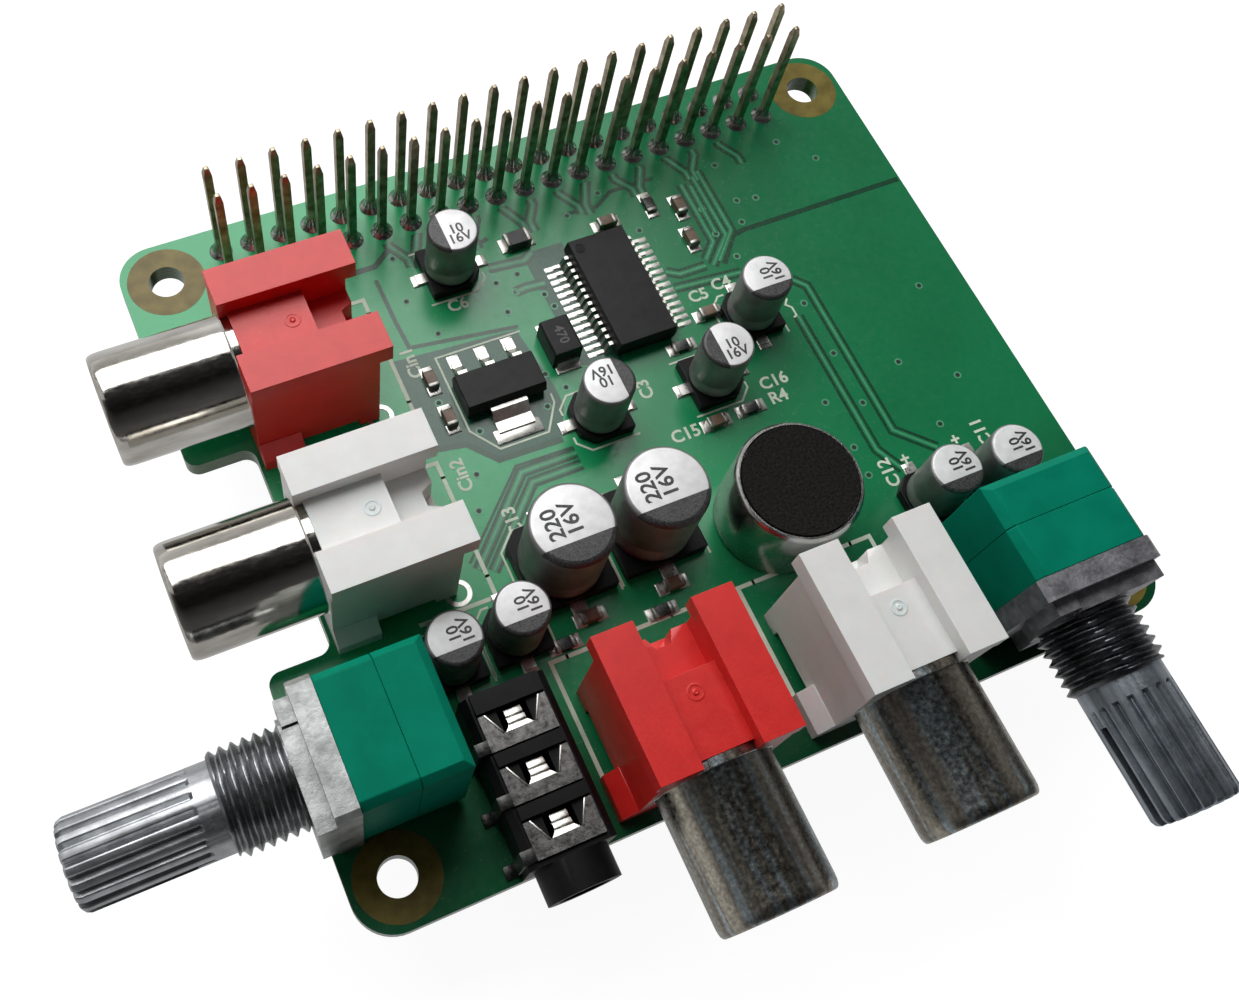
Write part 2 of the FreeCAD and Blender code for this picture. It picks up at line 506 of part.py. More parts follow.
arm = "blade_width / 2 - blade_tip"
blade_outline = profile("BladeOutline", "XY", [
    ("-blade_width / 2", "0"), ("blade_width / 2", "0"), ("blade_width / 2", "blade_length"),
    (arm, "blade_length"), ("blade_mouth / 2", "blade_bar"), ("-blade_mouth / 2", "blade_bar"),
    ("-(%s)" % arm, "blade_length"), ("-blade_width / 2", "blade_length")])
strap_low = "-(%s + strap_thick)" % jack_half
strap_section = profile("StrapSection", "XZ", [
    ("-blade_width / 2", "jack_deck"), ("-blade_width / 2", "jack_deck + blade_thick"),
    (strap_low, "jack_deck + blade_thick"), (strap_low, "strap_thick"),
    (strap_low + " - strap_foot", "strap_thick"), (strap_low + " - strap_foot", "0"),
    ("-(%s)" % jack_half, "0"), ("-(%s)" % jack_half, "jack_deck")])
jack_contact = fuse("JackContact", [
    extrude("Blade", blade_outline, Z_AXIS, "blade_thick", "jack_deck"),
    extrude("Strap", strap_section, Y_AXIS, "strap_width", "(blade_bar - strap_width) / 2"),
    box("Finger", both("finger_width / 2"), ("blade_bar", "blade_length"),
        ("jack_deck", "jack_deck + blade_thick"))])
node_at(jack_body, "audio_jack_body", "jack_centre", "0")
for step, name in enumerate(("sleeve", "ring", "tip")):
    node_at(jack_contact, "audio_jack_%s_contact" % name, "jack_centre", "blade_first + %d * blade_pitch" % step)

# Microphone: drawn can, felt cover, two pins

mic_can = cut("MicCan", rod("MicBlank", "Z", "mic_dia / 2", ("0", "mic_height")), [
    rod("FeltRoom", "Z", "felt_dia / 2 + felt_clear", ("mic_height - felt_sink", "mic_height"))])
felt_low = "mic_height - felt_sink"
mic_felt = rod("MicFelt", "Z", "felt_dia / 2", (felt_low, felt_low + " + felt_thick"))
node_at(mic_can, "microphone_can", "mic_x", "mic_y")
node_at(mic_felt, "microphone_felt", "mic_x", "mic_y")
mic_pins = doc.addObject("Part::Compound", "MicPins")
mic_pins.Links = [box("MicPin%d" % (side + 1), ("%d * mic_pin_span / 2 - mic_pin_width / 2" % side,
                                               "%d * mic_pin_span / 2 + mic_pin_width / 2" % side),
                      both("mic_pin_width / 2"), (tail_end, "0")) for side in (-1, 1)]
node_at(mic_pins, "microphone_pins", "mic_x", "mic_y")


def base_form(name, side, thick):
    """A square foot with the two corners of the positive end cut off."""
    half = side + " / 2"
    foot = profile(name + "Outline", "XY", [
        ("-" + half, "-" + half), (half + " - base_bevel", "-" + half), (half, "base_bevel - " + half),
        (half, half + " - base_bevel"), (half + " - base_bevel", half), ("-" + half, half)])
    return extrude(name, foot, Z_AXIS, thick)


# Aluminium capacitors: cans by name, feet and leads as groups; turn 0 has the positive end to +X

cap_bases = []
cap_leads = []
CAN_FAMILIES = [
    (LARGE_CAPACITORS, "large_dia", "large_height", "large_base", "large_base_thick", "large"),
    (SMALL_CAPACITORS, "small_dia", "small_height", "small_base", "small_base_thick", "small"),
]
for family, dia, height, side, thick, word in CAN_FAMILIES:
    can = rod(word.capitalize() + "Can", "Z", dia + " / 2", (thick, height))
    foot = base_form(word.capitalize() + "Base", side, thick)
    doc.recompute()
    for spot, spot_x, spot_y, turn in family:
        node_at(can, "capacitor_can_" + spot, spot + "_x", spot + "_y", turn=turn)
        at = spot_of(spot)
        cap_bases.append(set_down(foot.Shape, at[0], at[1], turn))
        for end in (-1, 1):
            reach = size("cap_lead_reach")
            middle = end * (size(side) + reach) / 2
            lead = block_at(middle, 0, 0, reach, size("cap_lead_width"), size("cap_lead_thick"))
            cap_leads.append(set_down(lead, at[0], at[1], turn))
group("capacitor_bases", cap_bases)
group("capacitor_leads", cap_leads)


def gull_wing(reach, root, shoulder, foot, thick, rise):
    """Section of a formed lead, from the body's side at root out to reach, down to the board."""
    bend = reach - foot
    points = [(root, rise), (root + shoulder, rise), (bend, thick), (reach, thick), (reach, 0),
              (bend - thick, 0), (root + shoulder - thick, rise - thick), (root, rise - thick)]
    return [FreeCAD.Vector(x, 0, z) for x, z in points]


def formed_lead(section, width):
    """A lead of even width, half of it on each side of its section's plane."""
    edge = [point - FreeCAD.Vector(0, width / 2, 0) for point in section]
    face = Part.Face(Part.makePolygon(edge + edge[:1]))
    return face.extrude(FreeCAD.Vector(0, width, 0))


def chip_section(name, half, low, high, draft):
    """Section of a moulded chip, widest at its parting line."""
    middle = "(%s + %s) / 2" % (low, high)
    return profile(name, "XZ", [
        ("%s - %s" % (draft, half), low), ("%s - %s" % (half, draft), low), (half, middle),
        ("%s - %s" % (half, draft), high), ("%s - %s" % (draft, half), high), ("-" + half, middle)])


# Codec chip: drafted body, two rows of formed leads

codec_section = chip_section("CodecSection", "codec_width / 2", "codec_standoff", "codec_height", "codec_draft")
codec_body = extrude("CodecBody", codec_section, Y_AXIS, "codec_length", "-codec_length / 2")
node_at(codec_body, "codec_chip_body", "codec_x", "codec_y")
codec_rise = (size("codec_height") + size("codec_standoff") + size("codec_lead_thick")) / 2
codec_wing = gull_wing(size("codec_span") / 2, size("codec_width") / 2, size("codec_lead_shoulder"),
                       size("codec_lead_foot"), size("codec_lead_thick"), codec_rise)
codec_lead = formed_lead(codec_wing, size("codec_lead_width"))
codec_leads = []
codec_spot = spot_of("codec")
for step in range(int(size("codec_lead_count"))):
    along = (step - (size("codec_lead_count") - 1) / 2) * size("codec_pitch")
    codec_leads.append(set_down(codec_lead, codec_spot[0], codec_spot[1] + along, 0))
    codec_leads.append(set_down(codec_lead, codec_spot[0], codec_spot[1] + along, 180))
group("codec_chip_leads", codec_leads)

# Voltage regulator: drafted body, three leads towards the header, wide tab on the other side

reg_section = chip_section("RegSection", "reg_width / 2", "0", "reg_height", "reg_draft")
reg_body = extrude("RegBody", reg_section, Y_AXIS, "reg_length", "-reg_length / 2")
node_at(reg_body, "regulator_body", "reg_x", "reg_y", turn=90)
reg_rise = (size("reg_height") + size("reg_lead_thick")) / 2
reg_wing = gull_wing(size("reg_span") / 2, size("reg_width") / 2, size("reg_lead_shoulder"),
                     size("reg_lead_foot"), size("reg_lead_thick"), reg_rise)
reg_spot = spot_of("reg")
reg_lead = formed_lead(reg_wing, size("reg_lead_width"))
reg_leads = [set_down(reg_lead, reg_spot[0] + step * size("reg_pitch"), reg_spot[1], 90) for step in (-1, 0, 1)]
reg_leads.append(set_down(formed_lead(reg_wing, size("reg_tab_width")), reg_spot[0], reg_spot[1], -90))
group("regulator_leads", reg_leads)

# Moulded inductor, ferrite bead, chip resistors and chip capacitors

coil_half = "coil_width / 2"
coil_section = profile("CoilSection", "XZ", [
    ("-" + coil_half, "0"), (coil_half, "0"), (coil_half, "coil_height - coil_bevel"),
    (coil_half + " - coil_bevel", "coil_height"), ("coil_bevel - " + coil_half, "coil_height"),
    ("-" + coil_half, "coil_height - coil_bevel")])
coil_body = extrude("CoilBody", coil_section, Y_AXIS, "coil_length", "-coil_length / 2")
node_at(coil_body, "inductor_body", "coil_x", "coil_y")
coil_spot = spot_of("coil")
group("inductor_terminals", [
    block_at(coil_spot[0], coil_spot[1] + end * (size("coil_length") + size("coil_end_thick")) / 2,
             size("board_thick"), size("coil_end_width"), size("coil_end_thick"), size("coil_end_height"))
    for end in (-1, 1)])
bead = box("Bead", both("bead_length / 2"), both("bead_width / 2"), ("0", "bead_height"))
node_at(bead, "ferrite_bead", "bead_x", "bead_y")
for family, height, label in ((CHIP_CAPACITORS, "chip_cap_height", "chip_capacitors"),
                              (CHIP_RESISTORS, "chip_res_height", "chip_resistors")):
    chip = block_at(0, 0, 0, size("chip_length"), size("chip_width"), size(height))
    group(label, [set_down(chip, *spot_of(spot), turn) for spot, x, y, turn in family])

# Circuit board: outline with a connector notch, mounting holes, slots for every pin and tab

body = doc.addObject("PartDesign::Body", "BoardBlank")
blank = body.newObject("Sketcher::SketchObject", "BoardOutline")
plane = [feature for feature in body.Origin.OriginFeatures if feature.Role == "XY_Plane"][0]
blank.AttachmentSupport = (plane, [""])
blank.MapMode = "FlatFace"
right_edge = LEFT_EDGE + " + board_length"
rear_edge = FRONT_EDGE + " + board_width"
notch_in = LEFT_EDGE + " + notch_depth"
notch_low = FRONT_EDGE + " + notch_start"
notch_high = FRONT_EDGE + " + notch_start + notch_length"
outline(blank, [
    (LEFT_EDGE, FRONT_EDGE), (right_edge, FRONT_EDGE), (right_edge, rear_edge), (LEFT_EDGE, rear_edge),
    (LEFT_EDGE, notch_high), (notch_in, notch_high), (notch_in, notch_low), (LEFT_EDGE, notch_low)])
pad = body.newObject("PartDesign::Pad", "BoardThickness")
pad.Profile = blank
bind(pad, Length="board_thick")
doc.recompute()


def upright_edges(shape, spots):
    """Names of the upright edges that stand at the given places."""
    names = []
    for number, edge in enumerate(shape.Edges, start=1):
        ends = [vertex.Point for vertex in edge.Vertexes]
        if abs(ends[0].z - ends[-1].z) > 1e-6:
            if any(math.hypot(ends[0].x - x, ends[0].y - y) < 1e-4 for x, y in spots):
                names.append("Edge%d" % number)
    return names


west = -(size("hole_span_x") / 2 + size("hole_inset"))
south = -(size("hole_span_y") / 2 + size("hole_inset"))
corner_spots = [(x, y) for x in (west, west + size("board_length"))
                for y in (south, south + size("board_width"))]
notch_south = south + size("notch_start")
notch_spots = [(x, y) for x in (west, west + size("notch_depth"))
               for y in (notch_south, notch_south + size("notch_length"))]
corners = body.newObject("PartDesign::Fillet", "BoardCorners")
corners.Base = (pad, upright_edges(pad.Shape, corner_spots))
bind(corners, Radius="board_corner")
doc.recompute()
notch_corners = body.newObject("PartDesign::Fillet", "NotchCorners")
notch_corners.Base = (corners, upright_edges(corners.Shape, notch_spots))
bind(notch_corners, Radius="notch_radius")
doc.recompute()


def local_to_board(x, y, turn, px, py):
    """A connector's own point (px, py) on the board."""
    spot = FreeCAD.Rotation(Z_AXIS, turn).multVec(FreeCAD.Vector(px, py, 0))
    return x + spot.x, y + spot.y


def slot(x, y, length, width, turn=0):
    """A through slot with clearance round a pin of the given section."""
    gap = 2 * size("slot_clear")
    return set_down(block_at(0, 0, 0, length + gap, width + gap, size("board_thick")), x, y, turn, z=0)


doc.recompute()
slots = [slot(x, y, size("pin_width"), size("pin_width")) for x, y in header_spots]
for name, x, y, turn in PHONOS + POTS:
    piece = [thing for thing in nodes if thing.Label in (name + "_phono_sleeve", name + "_pot_frame")][0]
    at = piece.Placement.Base
    if piece.Label.endswith("_sleeve"):
        tab_y = size("ground_tab_reach") - size("ground_tab_thick") / 2
        spot = local_to_board(at.x, at.y, turn, 0, tab_y)
        slots.append(slot(spot[0], spot[1], size("ground_tab_width"), size("ground_tab_thick"), turn))
        spot = local_to_board(at.x, at.y, turn, 0, size("contact_reach") - size("contact_thick") / 2)
        slots.append(slot(spot[0], spot[1], size("contact_width"), size("contact_thick"), turn))
    else:
        front_row = size("plate_thick") + size("front_case_length") / 2
        rear_row = size("plate_thick") + size("front_case_length") + size("rear_case_length") / 2
        for pin_y in (front_row, rear_row):
            for step in (-1, 0, 1):
                spot = local_to_board(at.x, at.y, turn, step * size("pot_pin_pitch"), pin_y)
                slots.append(slot(spot[0], spot[1], size("pot_pin_width"), size("pot_pin_thick"), turn))
mic_spot = spot_of("mic")
for side in (-1, 1):
    slots.append(slot(mic_spot[0] + side * size("mic_pin_span") / 2, mic_spot[1],
                      size("mic_pin_width"), size("mic_pin_width")))
pin_slots = doc.addObject("Part::Feature", "PinSlots")
pin_slots.Shape = Part.makeCompound(slots)
mounting_holes = [rod("MountingHole%d%d" % (i, j), "Z", "hole_dia / 2", ("0", "board_thick"),
                      "%d * hole_span_x / 2" % i, "%d * hole_span_y / 2" % j) for i in (-1, 1) for j in (-1, 1)]
drilled = cut("Drilled", body, mounting_holes)
node(cut("CircuitBoard", drilled, [pin_slots]), "circuit_board")

doc.recompute()
for thing in doc.Objects:
    if "Invalid" in thing.State or "Error" in thing.State:
        raise RuntimeError("%s did not build: %s" % (thing.Label, thing.State))
os.makedirs("parts", exist_ok=True)
for piece in nodes:
    if piece.Shape.isNull() or not piece.Shape.isValid() or not piece.Shape.Solids:
        raise RuntimeError("%s has no valid solid" % piece.Label)
    piece.Shape.exportStep("parts/%s.step" % piece.Label)
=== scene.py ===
import json
import math
from collections import namedtuple

import bmesh
import bpy
from mathutils import Matrix, Vector


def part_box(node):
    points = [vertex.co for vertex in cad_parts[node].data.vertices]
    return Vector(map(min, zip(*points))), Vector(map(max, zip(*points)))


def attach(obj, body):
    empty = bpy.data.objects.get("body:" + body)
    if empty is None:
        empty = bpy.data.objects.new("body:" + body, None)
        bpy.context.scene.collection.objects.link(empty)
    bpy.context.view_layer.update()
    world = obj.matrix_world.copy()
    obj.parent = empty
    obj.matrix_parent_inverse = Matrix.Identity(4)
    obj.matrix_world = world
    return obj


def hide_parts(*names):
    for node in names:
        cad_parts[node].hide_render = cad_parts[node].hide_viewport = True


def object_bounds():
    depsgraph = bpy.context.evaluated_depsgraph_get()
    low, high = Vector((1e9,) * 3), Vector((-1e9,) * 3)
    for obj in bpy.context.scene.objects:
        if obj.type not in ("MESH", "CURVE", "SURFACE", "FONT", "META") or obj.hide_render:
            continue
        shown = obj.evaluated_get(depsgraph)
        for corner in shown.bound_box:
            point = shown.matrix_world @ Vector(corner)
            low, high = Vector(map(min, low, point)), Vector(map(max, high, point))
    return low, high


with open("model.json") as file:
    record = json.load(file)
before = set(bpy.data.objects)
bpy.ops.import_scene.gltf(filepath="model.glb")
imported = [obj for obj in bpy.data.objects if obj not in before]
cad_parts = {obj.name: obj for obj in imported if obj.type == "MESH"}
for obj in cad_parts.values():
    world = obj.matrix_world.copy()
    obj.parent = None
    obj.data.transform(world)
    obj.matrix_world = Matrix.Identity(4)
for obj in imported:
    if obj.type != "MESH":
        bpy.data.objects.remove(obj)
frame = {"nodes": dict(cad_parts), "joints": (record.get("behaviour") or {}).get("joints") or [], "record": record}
cad_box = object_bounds()
nodes = frame["nodes"]
record = frame["record"]
mounts = {mount["name"]: mount for mount in record["mounts"]}
joints = {joint["name"]: joint for joint in frame["joints"]}
scene = bpy.context.scene

# Lengths are in millimetres here and become metres as a piece is made
MM = 0.001
BOARD_TOP = 1.6
FRONT_EDGE = -28.0
HEADER_Y = 24.5
HEADER_PITCH = 2.54
HEADER_COLUMNS = 20
WHOLE_TURN = 2 * math.pi
SIDES = (-1, 1)
# Corners of round forms: a small one, a middling one and a large one
FEW_STEPS = 20
STEPS = 32
MANY_STEPS = 96
# Joined forms are held back by this, so that no two faces share a plane
INSET = 0.01


# Shader nodes

NOISE_ROUGHNESS = 0.55


def feed(tree, node, inputs):
    """Sets sockets by name or number: an output is linked, anything else is a constant."""
    for socket, value in inputs.items():
        if isinstance(value, bpy.types.NodeSocket):
            tree.links.new(value, node.inputs[socket])
        else:
            node.inputs[socket].default_value = value


def noise(tree, scale, detail=3.0, stretch=(1, 1, 1)):
    """Noise over the object's own coordinates, with scale in features a millimetre."""
    place = tree.nodes.new("ShaderNodeTexCoord")
    sized = tree.nodes.new("ShaderNodeMapping")
    feed(tree, sized, {"Vector": place.outputs["Object"], "Scale": [axis / MM for axis in stretch]})
    tex = tree.nodes.new("ShaderNodeTexNoise")
    feed(tree, tex, {"Vector": sized.outputs["Vector"], "Scale": scale, "Detail": detail,
                     "Roughness": NOISE_ROUGHNESS})
    return tex.outputs["Fac"]


def ramp(tree, fac, stops):
    """Colours along a value: stops are (place, colour)."""
    node = tree.nodes.new("ShaderNodeValToRGB")
    band = node.color_ramp
    while len(band.elements) < len(stops):
        band.elements.new(0.5)
    for element, (place, colour) in zip(band.elements, stops):
        element.position = place
        element.color = (*colour, 1)
    feed(tree, node, {"Fac": fac})
    return node.outputs["Color"]


def spread(tree, value, low, high, start=0.3, end=0.7):
    """A value that runs from low to high while another runs from start to end."""
    node = tree.nodes.new("ShaderNodeMapRange")
    feed(tree, node, {"Value": value, "From Min": start, "From Max": end, "To Min": low, "To Max": high})
    return node.outputs["Result"]


def mixed(tree, factor, first, second, blend="MIX"):
    """Two colours blended by a factor."""
    node = tree.nodes.new("ShaderNodeMix")
    node.data_type = "RGBA"
    node.blend_type = blend
    feed(tree, node, {"Factor": factor, "A": first, "B": second})
    return node.outputs["Result"]


def scaled(tree, colour, factor):
    """A colour made darker by a factor."""
    node = tree.nodes.new("ShaderNodeVectorMath")
    node.operation = "SCALE"
    feed(tree, node, {0: colour, "Scale": factor})
    return node.outputs[0]


def worked(tree, operation, *values):
    """A number worked out from others."""
    node = tree.nodes.new("ShaderNodeMath")
    node.operation = operation
    feed(tree, node, dict(enumerate(values)))
    return node.outputs[0]


def axes(tree, vector):
    """The X, Y and Z of a vector, by name."""
    node = tree.nodes.new("ShaderNodeSeparateXYZ")
    feed(tree, node, {0: vector})
    return node.outputs


def bump(tree, bsdf, height, strength, depth):
    """Surface relief from a height value, with depth in millimetres."""
    node = tree.nodes.new("ShaderNodeBump")
    feed(tree, node, {"Height": height, "Strength": strength, "Distance": depth * MM})
    feed(tree, bsdf, {"Normal": node.outputs["Normal"]})


# Materials

def shader(name):
    """A new node material, its tree and its principled shader."""
    mat = bpy.data.materials.new(name)
    mat.use_nodes = True
    return mat, mat.node_tree, mat.node_tree.nodes["Principled BSDF"]


def surface(name, dark, light, rough, metal=0.0, scale=0.6, fine=6.0, depth=0.01, strength=0.3,
            stretch=(1, 1, 1), specular=0.5, subsurface=(0, 0)):
    """Two tones, a range of roughness and a fine grain; subsurface is a weight and a depth in mm."""
    mat, tree, bsdf = shader(name)
    tones = ramp(tree, noise(tree, scale, 4, stretch), [(0.32, dark), (0.68, light)])
    grain = noise(tree, fine, 3, stretch)
    feed(tree, bsdf, {"Base Color": tones, "Roughness": spread(tree, grain, *rough), "Metallic": metal,
                      "Specular IOR Level": specular, "Subsurface Weight": subsurface[0],
                      "Subsurface Scale": subsurface[1] * MM})
    bump(tree, bsdf, grain, strength, depth)
    return mat


# Painted light: the mask turns lighter over this span of X, towards the left
PAINTED_LIGHT_SPAN = (-16, 14)
# Painted shade: the mask turns darker over this span of Y towards the front, down to this share
PAINTED_SHADE_SPAN = (-25, -11)
PAINTED_FRONT_SHADE = 0.3


def board_material():
    """Green solder mask on the faces, lighter to the left by painted light and darker along the front by painted
    shade, laminate on the edges.
    """
    mat, tree, bsdf = shader("solder_mask")
    mottle = noise(tree, 0.09, 5)
    dull = ramp(tree, mottle, [(0.3, (0.004, 0.15, 0.052)), (0.7, (0.006, 0.192, 0.07))])
    # Painted light: a lighter green that takes over towards the left
    painted_light_green = ramp(tree, mottle, [(0.3, (0.006, 0.31, 0.105)), (0.7, (0.01, 0.37, 0.13))])
    place = axes(tree, tree.nodes.new("ShaderNodeTexCoord").outputs["Object"])
    mask = mixed(tree, spread(tree, place["X"], 1.0, 0.0, *(x * MM for x in PAINTED_LIGHT_SPAN)), dull, painted_light_green)
    # Painted shade: the mask darkens along the front
    mask = scaled(tree, mask, spread(tree, place["Y"], PAINTED_FRONT_SHADE, 1.0, *(y * MM for y in PAINTED_SHADE_SPAN)))
    fibres = noise(tree, 1.4, 3, (0.4, 0.4, 6))
    laminate = ramp(tree, fibres, [(0.3, (0.03, 0.11, 0.035)), (0.7, (0.1, 0.2, 0.07))])
    normal = axes(tree, tree.nodes.new("ShaderNodeNewGeometry").outputs["True Normal"])
    level = worked(tree, "ABSOLUTE", normal["Z"])
    weave = noise(tree, 2.2, 2)
    feed(tree, bsdf, {"Base Color": mixed(tree, level, laminate, mask),
                      "Roughness": spread(tree, weave, 0.2, 0.28)})
    bump(tree, bsdf, weave, 0.1, 0.008)
    return mat


def plate_painted_shade_material():
    """The front sleeves' plate, a darker copy of the nickel in painted shade: its streaks of brown, black and blue
    along the sleeve are painted reflections, under a fine speckle.
    """
    mat, tree, bsdf = shader("tarnished_plate")
    streaks = ramp(tree, noise(tree, 0.55, 3, (1, 0.05, 1)), [
        (0.3, (0.14, 0.125, 0.113)), (0.43, (0.3, 0.28, 0.24)), (0.49, (0.33, 0.39, 0.42)),
        (0.54, (0.22, 0.203, 0.173)), (0.7, (0.44, 0.41, 0.345))])
    speckle = ramp(tree, noise(tree, 3.6, 4), [
        (0.36, (0.72, 0.71, 0.7)), (0.52, (1, 1, 1)), (0.68, (1.35, 1.33, 1.28))])
    grain = noise(tree, 3.0, 4)
    feed(tree, bsdf, {"Base Color": mixed(tree, 1.0, streaks, speckle, "MULTIPLY"),
                      "Roughness": spread(tree, grain, 0.22, 0.42), "Metallic": 1.0})
    bump(tree, bsdf, grain, 0.35, 0.008)
    return mat


# Each has its dark tone, its light tone and its range of roughness
MASK = board_material()
TRACE = surface("covered_copper", (0.01, 0.19, 0.07), (0.016, 0.225, 0.088), (0.2, 0.28), depth=0.005)
PALE = surface("trace_edge", (0.06, 0.27, 0.14), (0.09, 0.33, 0.18), (0.22, 0.32), depth=0.005)
GAP = surface("mask_channel", (0.002, 0.045, 0.018), (0.004, 0.062, 0.026), (0.22, 0.3), depth=0.005)
BARE = surface("mask_on_laminate", (0.01, 0.075, 0.042), (0.015, 0.092, 0.054), (0.22, 0.3), depth=0.005)
SILK = surface("white_ink", (0.5, 0.58, 0.45), (0.66, 0.72, 0.6), (0.5, 0.65), fine=9)
BARE_RING = surface("bare_laminate", (0.12, 0.092, 0.018), (0.2, 0.158, 0.036), (0.26, 0.38), scale=0.8,
                    specular=0.25)
# Painted shade: a near-black disc stands for the inside of a via's hole
VIA_PAINTED_SHADE = surface("via_hole", (0.002, 0.008, 0.005), (0.005, 0.015, 0.009), (0.4, 0.6))
BLACK = surface("black_plastic", (0.0025, 0.0025, 0.003), (0.006, 0.006, 0.007), (0.36, 0.52), fine=8,
                specular=0.18)
RED = surface("red_plastic", (0.6, 0.016, 0.014), (0.68, 0.022, 0.018), (0.3, 0.42), fine=5, depth=0.012,
              subsurface=(0.06, 0.6))
WHITE = surface("white_plastic", (0.74, 0.735, 0.715), (0.78, 0.78, 0.765), (0.3, 0.42), fine=5,
                depth=0.012, subsurface=(0.22, 0.9))
NICKEL = surface("nickel_plate", (0.36, 0.34, 0.305), (0.66, 0.64, 0.6), (0.07, 0.18), metal=1.0, scale=0.5,
                 fine=5, stretch=(0.3, 1, 1), depth=0.006, strength=0.35)
PLATE_PAINTED_SHADE = plate_painted_shade_material()
CAST_LIGHT = surface("worn_casting", (0.25, 0.26, 0.255), (0.5, 0.52, 0.51), (0.32, 0.52), metal=0.85,
                     scale=0.8, fine=4.5, depth=0.025, strength=0.4)
CAST_DARK = surface("dark_casting", (0.16, 0.16, 0.174), (0.37, 0.37, 0.395), (0.4, 0.56), metal=0.85,
                    scale=1.1, fine=3.5, depth=0.05, strength=0.5)
CUT_THREAD = surface("cut_thread", (0.14, 0.146, 0.152), (0.3, 0.31, 0.317), (0.24, 0.4), metal=0.95,
                     scale=0.8, fine=5, depth=0.012)
DARK_THREAD = surface("dark_thread", (0.045, 0.047, 0.052), (0.12, 0.124, 0.132), (0.24, 0.4), metal=0.95,
                      scale=0.8, fine=5, depth=0.012)
SHAFT = surface("shaft_alloy", (0.3, 0.31, 0.325), (0.5, 0.515, 0.53), (0.34, 0.5), metal=0.95,
                depth=0.012)
DARK_SHAFT = surface("shaft_steel", (0.21, 0.24, 0.27), (0.36, 0.4, 0.44), (0.34, 0.5), metal=0.95,
                     scale=0.5, depth=0.012)
TEAL = surface("teal_case", (0.001, 0.175, 0.106), (0.002, 0.215, 0.133), (0.42, 0.55), scale=0.4, fine=4,
               depth=0.012, specular=0.03)
TIN = surface("tin_plate", (0.46, 0.455, 0.42), (0.7, 0.69, 0.65), (0.26, 0.42), metal=1.0, scale=1.2,
              fine=5, depth=0.006)
JOINT = surface("joint_solder", (0.17, 0.165, 0.15), (0.42, 0.41, 0.385), (0.28, 0.44), metal=1.0, scale=1.3,
                fine=5, depth=0.008)
PIN = surface("pin_plate", (0.19, 0.15, 0.095), (0.5, 0.43, 0.315), (0.32, 0.48), metal=1.0, scale=1.1,
              fine=5)
SOLDER = surface("solder", (0.14, 0.14, 0.13), (0.42, 0.42, 0.405), (0.12, 0.26), metal=0.9, scale=1.4,
                 fine=4, depth=0.015)
CAN = surface("can_side", (0.2, 0.2, 0.2), (0.3, 0.3, 0.3), (0.42, 0.54), metal=0.75, depth=0.006)
CAN_TOP = surface("can_top", (0.7, 0.7, 0.705), (0.82, 0.82, 0.825), (0.36, 0.5), metal=0.25, scale=1.2,
                  fine=9)
PRINT = surface("black_ink", (0.004, 0.004, 0.0045), (0.07, 0.07, 0.071), (0.28, 0.5), scale=8, fine=9,
                depth=0.03)
GREY_INK = surface("grey_ink", (0.07, 0.07, 0.073), (0.11, 0.111, 0.115), (0.5, 0.65), scale=5)
# Painted shade: a dark copy of the tin for the jack contacts' straps
TIN_PAINTED_SHADE = surface("dull_tin", (0.03, 0.03, 0.03), (0.09, 0.09, 0.088), (0.25, 0.45), metal=0.9, scale=2)
BLADE = surface("worn_blade", (0.07, 0.068, 0.066), (0.26, 0.255, 0.25), (0.26, 0.46), metal=1.0, scale=2.2,
                fine=9, depth=0.02, strength=0.4)
MIC_METAL = surface("mic_can", (0.4, 0.4, 0.39), (0.56, 0.56, 0.55), (0.16, 0.28), metal=1.0, scale=0.5,
                    fine=5, depth=0.006)
FELT = surface("black_felt", (0.003, 0.0028, 0.0027), (0.02, 0.0185, 0.0175), (0.9, 1.0), scale=5, fine=7,
               depth=0.12, strength=0.9, specular=0.15)
CHIP = surface("chip_mould", (0.008, 0.008, 0.0085), (0.015, 0.015, 0.0155), (0.36, 0.5), scale=1, fine=9,
               depth=0.012, specular=0.2)
TAN = surface("chip_ceramic", (0.1, 0.062, 0.038), (0.17, 0.108, 0.066), (0.35, 0.5), scale=2)
DARK_CHIP = surface("chip_film", (0.008, 0.008, 0.009), (0.02, 0.02, 0.02), (0.2, 0.35), scale=2)
BEAD_GREY = surface("bead_ferrite", (0.03, 0.03, 0.032), (0.06, 0.06, 0.062), (0.4, 0.55), scale=2)

SLOT_LOOKS = {
    "board_green": MASK, "black_plastic": BLACK, "pin_metal": PIN, "tin_metal": TIN, "red_plastic": RED,
    "white_plastic": WHITE, "nickel_sleeve": NICKEL, "frame_metal": CAST_LIGHT, "teal_plastic": TEAL,
    "shaft_metal": SHAFT, "can_metal": CAN, "mic_metal": MIC_METAL, "black_felt": FELT, "chip_black": CHIP,
    "bead_grey": BEAD_GREY, "chip_tan": TAN, "chip_dark": DARK_CHIP,
}
for part in record["subparts"]:
    held = nodes[part["node"]].data.materials
    for index in range(len(held)):
        held[index] = SLOT_LOOKS[part["material_slot"]]


# Shapes

FONT_SCALE = 1.38
FONT_RESOLUTION = 3
LEAST_MITRE = 0.4


def linked(name, data):
    """A new object in the scene."""
    made = bpy.data.objects.new(name, data)
    scene.collection.objects.link(made)
    return made


def final_mesh(thing):
    """A new mesh of an object as its letters or modifiers make it."""
    ready = thing.evaluated_get(bpy.context.evaluated_depsgraph_get())
    return bpy.data.meshes.new_from_object(ready)


def circle(radius, height, steps):
    """Points round a circle about Z."""
    angles = [WHOLE_TURN * i / steps for i in range(steps)]
    return [(radius * math.cos(angle), radius * math.sin(angle), height) for angle in angles]


